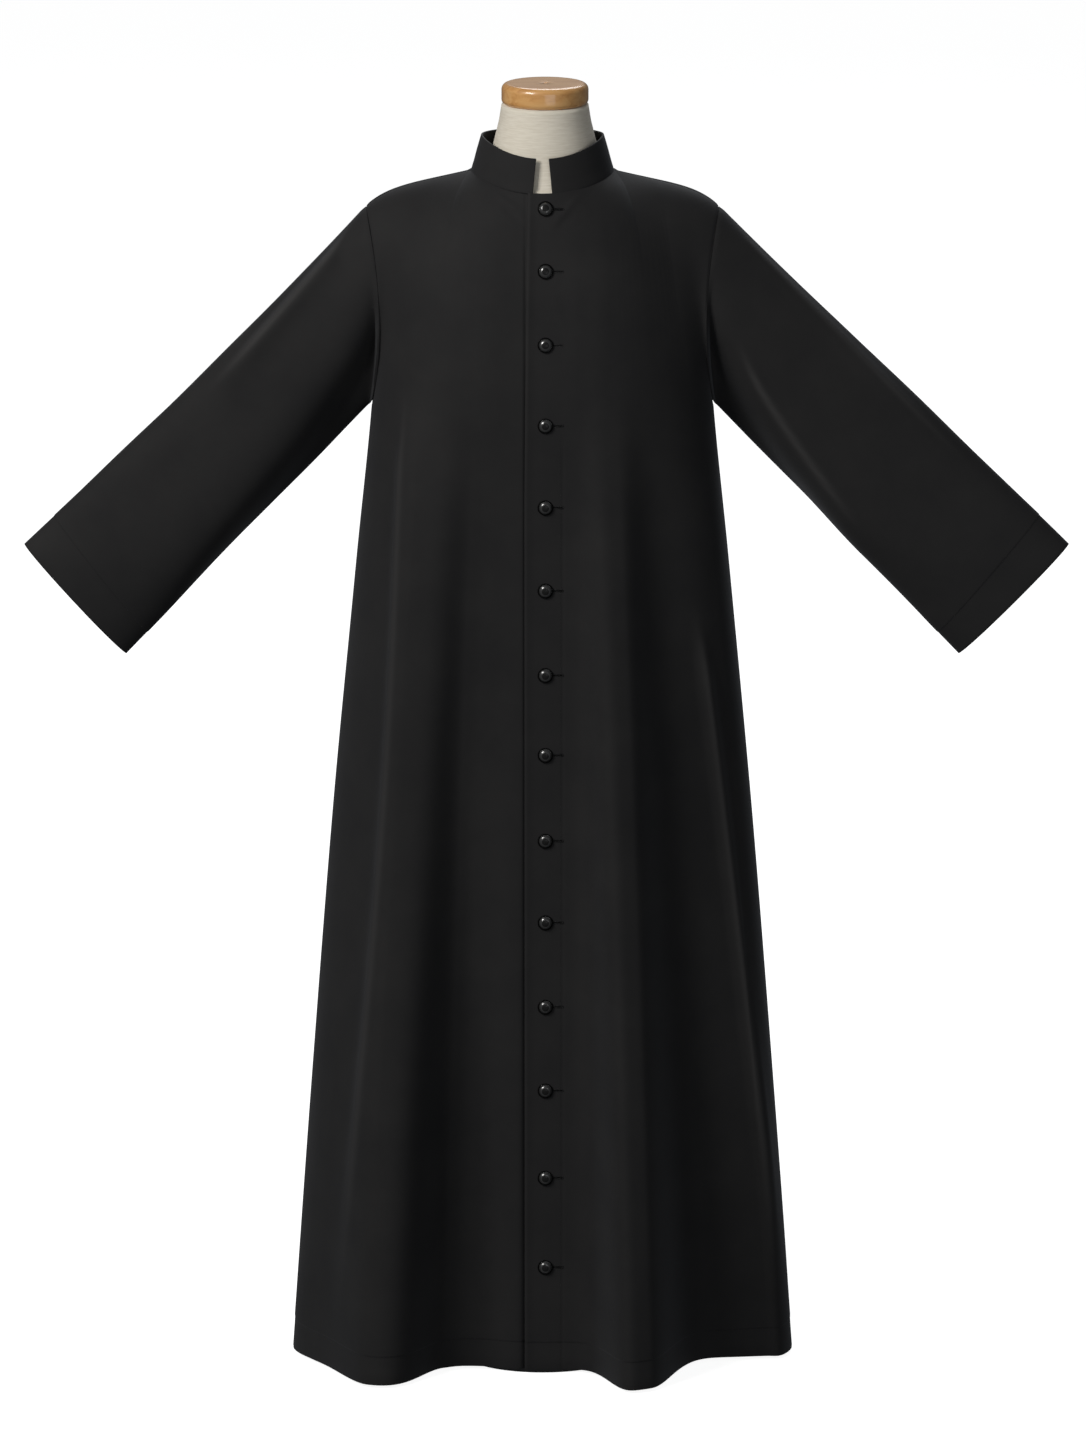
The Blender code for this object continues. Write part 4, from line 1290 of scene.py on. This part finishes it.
def make_form(cloth):
    """The torso under the cloth and its neck, in one smooth piece."""
    places = subdivided(list(range(len(WAIST_ROWS))), FORM_STEPS)
    waist = [waist_row_at(place) for place in places]
    torso = [ring_of(waist_line(row, False), waist_line(row, True)) for row in waist]
    rows = subdivided(yoke_rows(), FORM_YOKE_STEPS)
    for row in rows[:-1]:
        torso.append(ring_of(form_line(row, False), form_line(row, True)))
    front, back = form_line(rows[-1], False), form_line(rows[-1], True)
    front_neck = [column for column in form_columns(2, False) if column <= NECK_SHARE + TINY]
    back_neck = [column for column in form_columns(2, True) if column <= NECK_SHARE + TINY]
    shoulder = len(front) - len(front_neck) + 1
    for k in range(1, shoulder + 1):
        middle = (front[-k] + back[-k]) / 2
        front[-k], back[-k] = middle, middle.copy()
    torso.append(ring_of(front, back))
    neck = [ring_of(front[: len(front_neck)], back[: len(back_neck)])]
    neck.append(neck_loop(front_neck, back_neck, neck_foot_point))
    for place in subdivided(list(range(len(NECK_ROWS))), FORM_STEPS):
        neck.append(neck_ring(neck_row_at(place), front_neck, back_neck))
    mesh = grid_mesh("form_linen", [torso, neck], capped=True)
    new_piece("form_linen", mesh, cloth, ["form_torso"])


def make_cap(wood):
    """The turned wooden cap with its small hole."""
    top = CAP_BOTTOM_Z + CAP_THICKNESS
    hole_floor = top - CAP_HOLE_DEPTH
    quarter = math.pi / 2
    profile = [(0.0, hole_floor), (CAP_HOLE_RADIUS, hole_floor)]
    radius, height = CAP_HOLE_RADIUS + HOLE_ROUND, top - HOLE_ROUND
    profile += round_arc(radius, height, HOLE_ROUND, -quarter, 0, HOLE_ARC_STEPS)
    profile += [(CAP_RADIUS * share, top) for share in CAP_TOP_RINGS]
    radius, height = CAP_RADIUS - CAP_TOP_ROUND, top - CAP_TOP_ROUND
    profile += round_arc(radius, height, CAP_TOP_ROUND, 0, quarter, CAP_TOP_ARC_STEPS)
    radius, height = CAP_RADIUS - CAP_FOOT_ROUND, CAP_BOTTOM_Z + CAP_FOOT_ROUND
    profile += round_arc(radius, height, CAP_FOOT_ROUND, quarter, math.pi, CAP_FOOT_ARC_STEPS)
    profile += [(CAP_RADIUS * CAP_FOOT_RING, CAP_BOTTOM_Z), (0.0, CAP_BOTTOM_Z)]
    cap = turned("form_cap_wood", profile, CAP_TURNS, wood, ["form_cap"])
    cap.location = (NECK_X, NECK_Y, 0)


def make_stand(steel):
    """The pole with its flange, and the round base plate."""
    flange_top = FORM_BOTTOM_Z - SEAM_GAP
    flange_low = flange_top - POLE_FLANGE_THICKNESS
    pole_low = BASE_THICKNESS + SEAM_GAP
    quarter = math.pi / 2
    radius = POLE_FLANGE_RADIUS - STAND_ROUND
    profile = [(0.0, flange_top)]
    profile += round_arc(radius, flange_top - STAND_ROUND, STAND_ROUND, 0, quarter, FLANGE_ARC_STEPS)
    profile += round_arc(radius, flange_low + STAND_ROUND, STAND_ROUND, quarter, math.pi, FLANGE_ARC_STEPS)
    profile += [(POLE_RADIUS, flange_low), (POLE_RADIUS, pole_low), (0.0, pole_low)]
    turned("stand_pole_painted", profile, STAND_TURNS, steel, ["stand_pole"])
    radius, height = BASE_RADIUS - BASE_BEVEL, BASE_THICKNESS - BASE_BEVEL
    profile = [(0.0, BASE_THICKNESS)]
    profile += round_arc(radius, height, BASE_BEVEL, 0, quarter, BASE_ARC_STEPS)
    profile += [(BASE_RADIUS, 0.0), (0.0, 0.0)]
    turned("stand_base_painted", profile, STAND_TURNS, steel, ["stand_base"])


def new_material(name, **values):
    """A Principled material with these constant values. Returns it and its shader."""
    made = bpy.data.materials.new(name)
    made.use_nodes = True
    shader = made.node_tree.nodes["Principled BSDF"]
    set_inputs(shader, values)
    return made, shader


def set_inputs(node, values):
    for label, value in values.items():
        node.inputs[label.replace("_", " ")].default_value = value


def add_node(made, kind, **values):
    """A node of the material with these input values."""
    node = made.node_tree.nodes.new(kind)
    set_inputs(node, values)
    return node


def link(made, output, socket):
    made.node_tree.links.new(output, socket)


def object_place(made):
    return add_node(made, "ShaderNodeTexCoord").outputs["Object"]


def stretched(made, place, scale):
    """The place stretched by this scale."""
    stretch = add_node(made, "ShaderNodeMapping", Scale=scale)
    link(made, place, stretch.inputs["Vector"])
    return stretch.outputs["Vector"]


def add_noise(made, place, **values):
    """Noise from 0 to 1 at the place."""
    noise_node = add_node(made, "ShaderNodeTexNoise", **values)
    link(made, place, noise_node.inputs["Vector"])
    return noise_node.outputs["Fac"]


def colour_ramp(made, factor, stops):
    """A ramp from the factor through stops of position and colour."""
    ramp = add_node(made, "ShaderNodeValToRGB")
    for k, (position, colour) in enumerate(stops):
        stop = ramp.color_ramp.elements[k] if k < 2 else ramp.color_ramp.elements.new(position)
        stop.position = position
        stop.color = (*colour, 1)
    link(made, factor, ramp.inputs["Fac"])
    return ramp.outputs["Color"]


def add_bump(made, shader, height, strength, distance):
    """Bumps the shader by the height."""
    bump = add_node(made, "ShaderNodeBump", Strength=strength, Distance=distance)
    link(made, height, bump.inputs["Height"])
    link(made, bump.outputs["Normal"], shader.inputs["Normal"])


def woven(made, shader, thread, relief, slub, directions):
    """Bumps the shader with a weave of threads that run in these directions, uneven by the slub."""
    place = object_place(made)
    total = add_noise(made, place, Scale=FUZZ_PER_THREAD / thread, Detail=4.0, Roughness=0.7)
    for direction in directions:
        wave = add_node(made, "ShaderNodeTexWave", Scale=WAVES_PER_THREAD / thread, Distortion=0.6)
        wave.bands_direction = direction
        link(made, place, wave.inputs["Vector"])
        join = add_node(made, "ShaderNodeMath")
        join.operation = "MULTIPLY_ADD"
        join.inputs[1].default_value = 1 - slub
        link(made, wave.outputs["Fac"], join.inputs[0])
        link(made, total, join.inputs[2])
        total = join.outputs["Value"]
    add_bump(made, shader, total, *relief)
    return place


def black_cloth_material():
    """Fine matte wool twill, almost black, with a faint bloom, slow changes of tone and painted highlights on
    the creases' crests.
    """
    made, shader = new_material(
        "black_cloth_woven",
        Roughness=0.78,
        Specular_IOR_Level=0.22,
        Sheen_Weight=0.10,
        Sheen_Roughness=0.45,
        Sheen_Tint=(0.75, 0.78, 0.85, 1),
    )
    place = woven(made, shader, CLOTH_THREAD, (0.30, 0.0002), 0.35, ("DIAGONAL",))
    tone = add_noise(made, place, Scale=14.0, Detail=5.0, Roughness=0.6)
    stops = ((0.30, (0.0118, 0.0115, 0.0120)), (0.75, (0.0165, 0.0160, 0.0160)))
    # Painted highlight: the crests of the creases are paled towards a lighter colour
    crest = add_node(made, "ShaderNodeAttribute")
    crest.attribute_name = "crest"
    painted_highlight_mix = add_node(made, "ShaderNodeMixRGB", Color2=(*CREST_PAINTED_HIGHLIGHT_COLOUR, 1))
    link(made, crest.outputs["Fac"], painted_highlight_mix.inputs["Fac"])
    link(made, colour_ramp(made, tone, stops), painted_highlight_mix.inputs["Color1"])
    link(made, painted_highlight_mix.outputs["Color"], shader.inputs["Base Color"])
    return made


def flecked_material(name, stops, grain, bump=None, **values):
    """A material whose tone runs through the stops by fine noise, which also bumps it where wanted."""
    made, shader = new_material(name, **values)
    flecks = add_noise(made, object_place(made), **grain)
    link(made, colour_ramp(made, flecks, stops), shader.inputs["Base Color"])
    if bump:
        add_bump(made, shader, flecks, *bump)
    return made


def thread_material():
    """Twisted black sewing thread, a little darker than the cloth."""
    stops = ((0.3, (0.004, 0.004, 0.0045)), (0.7, (0.010, 0.010, 0.0105)))
    grain = {"Scale": 900.0, "Detail": 2.0}
    values = {"Roughness": 0.5, "Specular_IOR_Level": 0.35}
    return flecked_material("black_thread", stops, grain, (0.4, 0.0001), **values)


def slit_material():
    """The shadow inside a buttonhole."""
    stops = ((0.3, (0.0015, 0.0015, 0.0016)), (0.7, (0.003, 0.003, 0.003)))
    values = {"Roughness": 0.95, "Specular_IOR_Level": 0.05}
    return flecked_material("buttonhole_dark", stops, {"Scale": 700.0, "Detail": 1.0}, **values)


def gloss_material(gloss):
    """Black button gloss with faint handling marks, between its two tones."""
    stops = ((0.3, (gloss.dark,) * 3), (0.8, (gloss.light,) * 3))
    values = {"Coat_Weight": gloss.coat, "Coat_Roughness": 0.12, "Specular_IOR_Level": gloss.coat}
    grain = {"Scale": 420.0, "Detail": 3.0}
    return flecked_material(gloss.name, stops, grain, (0.08, 0.0001), Roughness=gloss.roughness, **values)


def linen_material():
    """Cream linen with uneven threads in both directions."""
    made, shader = new_material(
        "linen_woven", Roughness=0.9, Specular_IOR_Level=0.2, Sheen_Weight=0.15, Sheen_Roughness=0.5
    )
    place = woven(made, shader, LINEN_THREAD, (0.45, 0.0003), 0.3, ("X", "Z"))
    place = stretched(made, place, (60.0, 60.0, 700.0))
    tone = add_noise(made, place, Scale=1.0, Detail=4.0, Roughness=0.6)
    stops = ((0.25, (0.66, 0.60, 0.49)), (0.75, (0.80, 0.75, 0.65)))
    link(made, colour_ramp(made, tone, stops), shader.inputs["Base Color"])
    return made


def wood_material():
    """Honey wood with fine lengthwise grain under a clear varnish."""
    made, shader = new_material(
        "varnished_wood_grain", Roughness=0.42, Coat_Weight=0.75, Coat_Roughness=0.10, Coat_IOR=1.5
    )
    place = stretched(made, object_place(made), (9.0, 110.0, 110.0))
    rings = add_noise(made, place, Scale=1.0, Detail=5.0, Roughness=0.62, Distortion=0.7)
    stops = ((0.28, (0.50, 0.225, 0.062)), (0.50, (0.66, 0.345, 0.115)), (0.78, (0.76, 0.46, 0.19)))
    link(made, colour_ramp(made, rings, stops), shader.inputs["Base Color"])
    add_bump(made, shader, rings, 0.10, 0.0004)
    return made


def steel_material():
    """Black satin paint with a fine orange-peel surface."""
    stops = ((0.3, (0.022, 0.022, 0.023)), (0.7, (0.034, 0.034, 0.035)))
    grain = {"Scale": 260.0, "Detail": 3.0}
    return flecked_material("painted_steel_satin", stops, grain, (0.12, 0.0003), Roughness=0.45, Metallic=0.0)


def make_floor():
    """A pale lit sweep that the stand stands on."""
    made, shader = new_material("floor_pale", Roughness=0.95, Specular_IOR_Level=0.0)
    shader.inputs["Base Color"].default_value = (*FLOOR_COLOUR, 1)
    shader.inputs["Emission Color"].default_value = (1, 1, 1, 1)
    shader.inputs["Emission Strength"].default_value = FLOOR_GLOW
    bpy.ops.mesh.primitive_plane_add(size=FLOOR_SIZE, location=(0, 0, 0))
    floor = bpy.context.active_object
    floor.name = "floor"
    floor.data.materials.append(made)
    floor.visible_diffuse = False
    floor.visible_glossy = False


def make_light(light):
    """A soft square light that looks at the chest."""
    lamp = bpy.data.lights.new(light.name, "AREA")
    lamp.shape = "SQUARE"
    lamp.size = light.size
    lamp.energy = light.power
    lamp.color = light.colour
    obj = bpy.data.objects.new(light.name, lamp)
    way = Vector(LIGHT_TARGET) - Vector(light.place)
    place_and_aim(obj, light.place, way)


def place_and_aim(obj, place, way):
    """Puts a light or camera into the scene, looking this way."""
    obj.location = place
    obj.rotation_mode = "QUATERNION"
    obj.rotation_quaternion = way.to_track_quat("-Z", "Y")
    bpy.context.scene.collection.objects.link(obj)


def make_camera():
    """The camera at the photograph's angle, a long lens far away."""
    camera = bpy.data.cameras.new("camera")
    camera.sensor_width = SENSOR
    camera.lens = SENSOR * CAMERA_DISTANCE / CAMERA_FRAME_HEIGHT
    camera.clip_end = 2 * FLOOR_SIZE
    obj = bpy.data.objects.new("camera", camera)
    way = Vector((0, -math.cos(CAMERA_ELEVATION), math.sin(CAMERA_ELEVATION)))
    place_and_aim(obj, Vector(CAMERA_TARGET) + way * CAMERA_DISTANCE, -way)
    bpy.context.scene.camera = obj


def make_world():
    world = bpy.data.worlds.new("studio")
    world.use_nodes = True
    background = world.node_tree.nodes["Background"]
    background.inputs["Color"].default_value = (*WORLD_COLOUR, 1)
    background.inputs["Strength"].default_value = WORLD_STRENGTH
    bpy.context.scene.world = world
    bpy.context.scene.view_settings.view_transform = "Standard"
    bpy.context.scene.view_settings.look = "None"


def make_cloth(cloth, thread):
    """The panels, and the stitches of their hems, cuffs and front facing. Returns the stitched nodes."""
    panels = {
        "front_left": fine_front(LEFT),
        "front_right": fine_front(RIGHT),
        "back": fine_back(),
        "sleeve_left": fine_sleeve(LEFT),
        "sleeve_right": fine_sleeve(RIGHT),
    }
    length, spacing = HEM_STITCH
    for node, panel in panels.items():
        cloth_panel(node, panel.points, cloth, WALL, panel.flip, panel.tones)
        stitches = resampled(panel.points[panel.hem], panel.normals[panel.hem], spacing)
        stitch_piece(f"{node}_hem_stitches", stitches, thread, length)
    cloth_panel("collar", fine_collar(), cloth, COLLAR_WALL)
    make_facing(panels["front_left"], thread)
    return list(panels)


def make_facing(panel, thread):
    """The stitches that hold the facing behind the left front's buttonholes."""
    column = PLACKET_STEPS + 2 * NEAR_STEPS
    line = [row[column] for row in panel.points if row[column].z < FACING_TOP_Z]
    ways = [row[column] for row in panel.normals][: len(line)]
    length, spacing = FACING_STITCH
    stitch_piece("facing_stitches", resampled(line, ways, spacing), thread, length)


def declare_cloth(hemmed):
    """Gathers, for each cut, the names of the stitches that go with its panel; nothing is done with them."""
    for cut in CUTS:
        sewn = [f"{cut.node}_hem_stitches"] if cut.node in hemmed else []
        if cut.node == "front_left":
            sewn += ["facing_stitches", "buttonhole_stitches", "buttonhole_slits"]


make_camera()
make_world()
make_floor()
for soft_light in LIGHTS:
    make_light(soft_light)

black_cloth = black_cloth_material()
black_thread = thread_material()
stitched = make_cloth(black_cloth, black_thread)
stitch_piece("buttonhole_stitches", buttonhole_stitches(), black_thread, BUTTONHOLE_STITCH[0])
slit_piece(slit_material())
make_buttons([gloss_material(gloss) for gloss in BUTTON_GLOSSES])
make_form(linen_material())
make_cap(wood_material())
make_stand(steel_material())
declare_cloth(stitched)
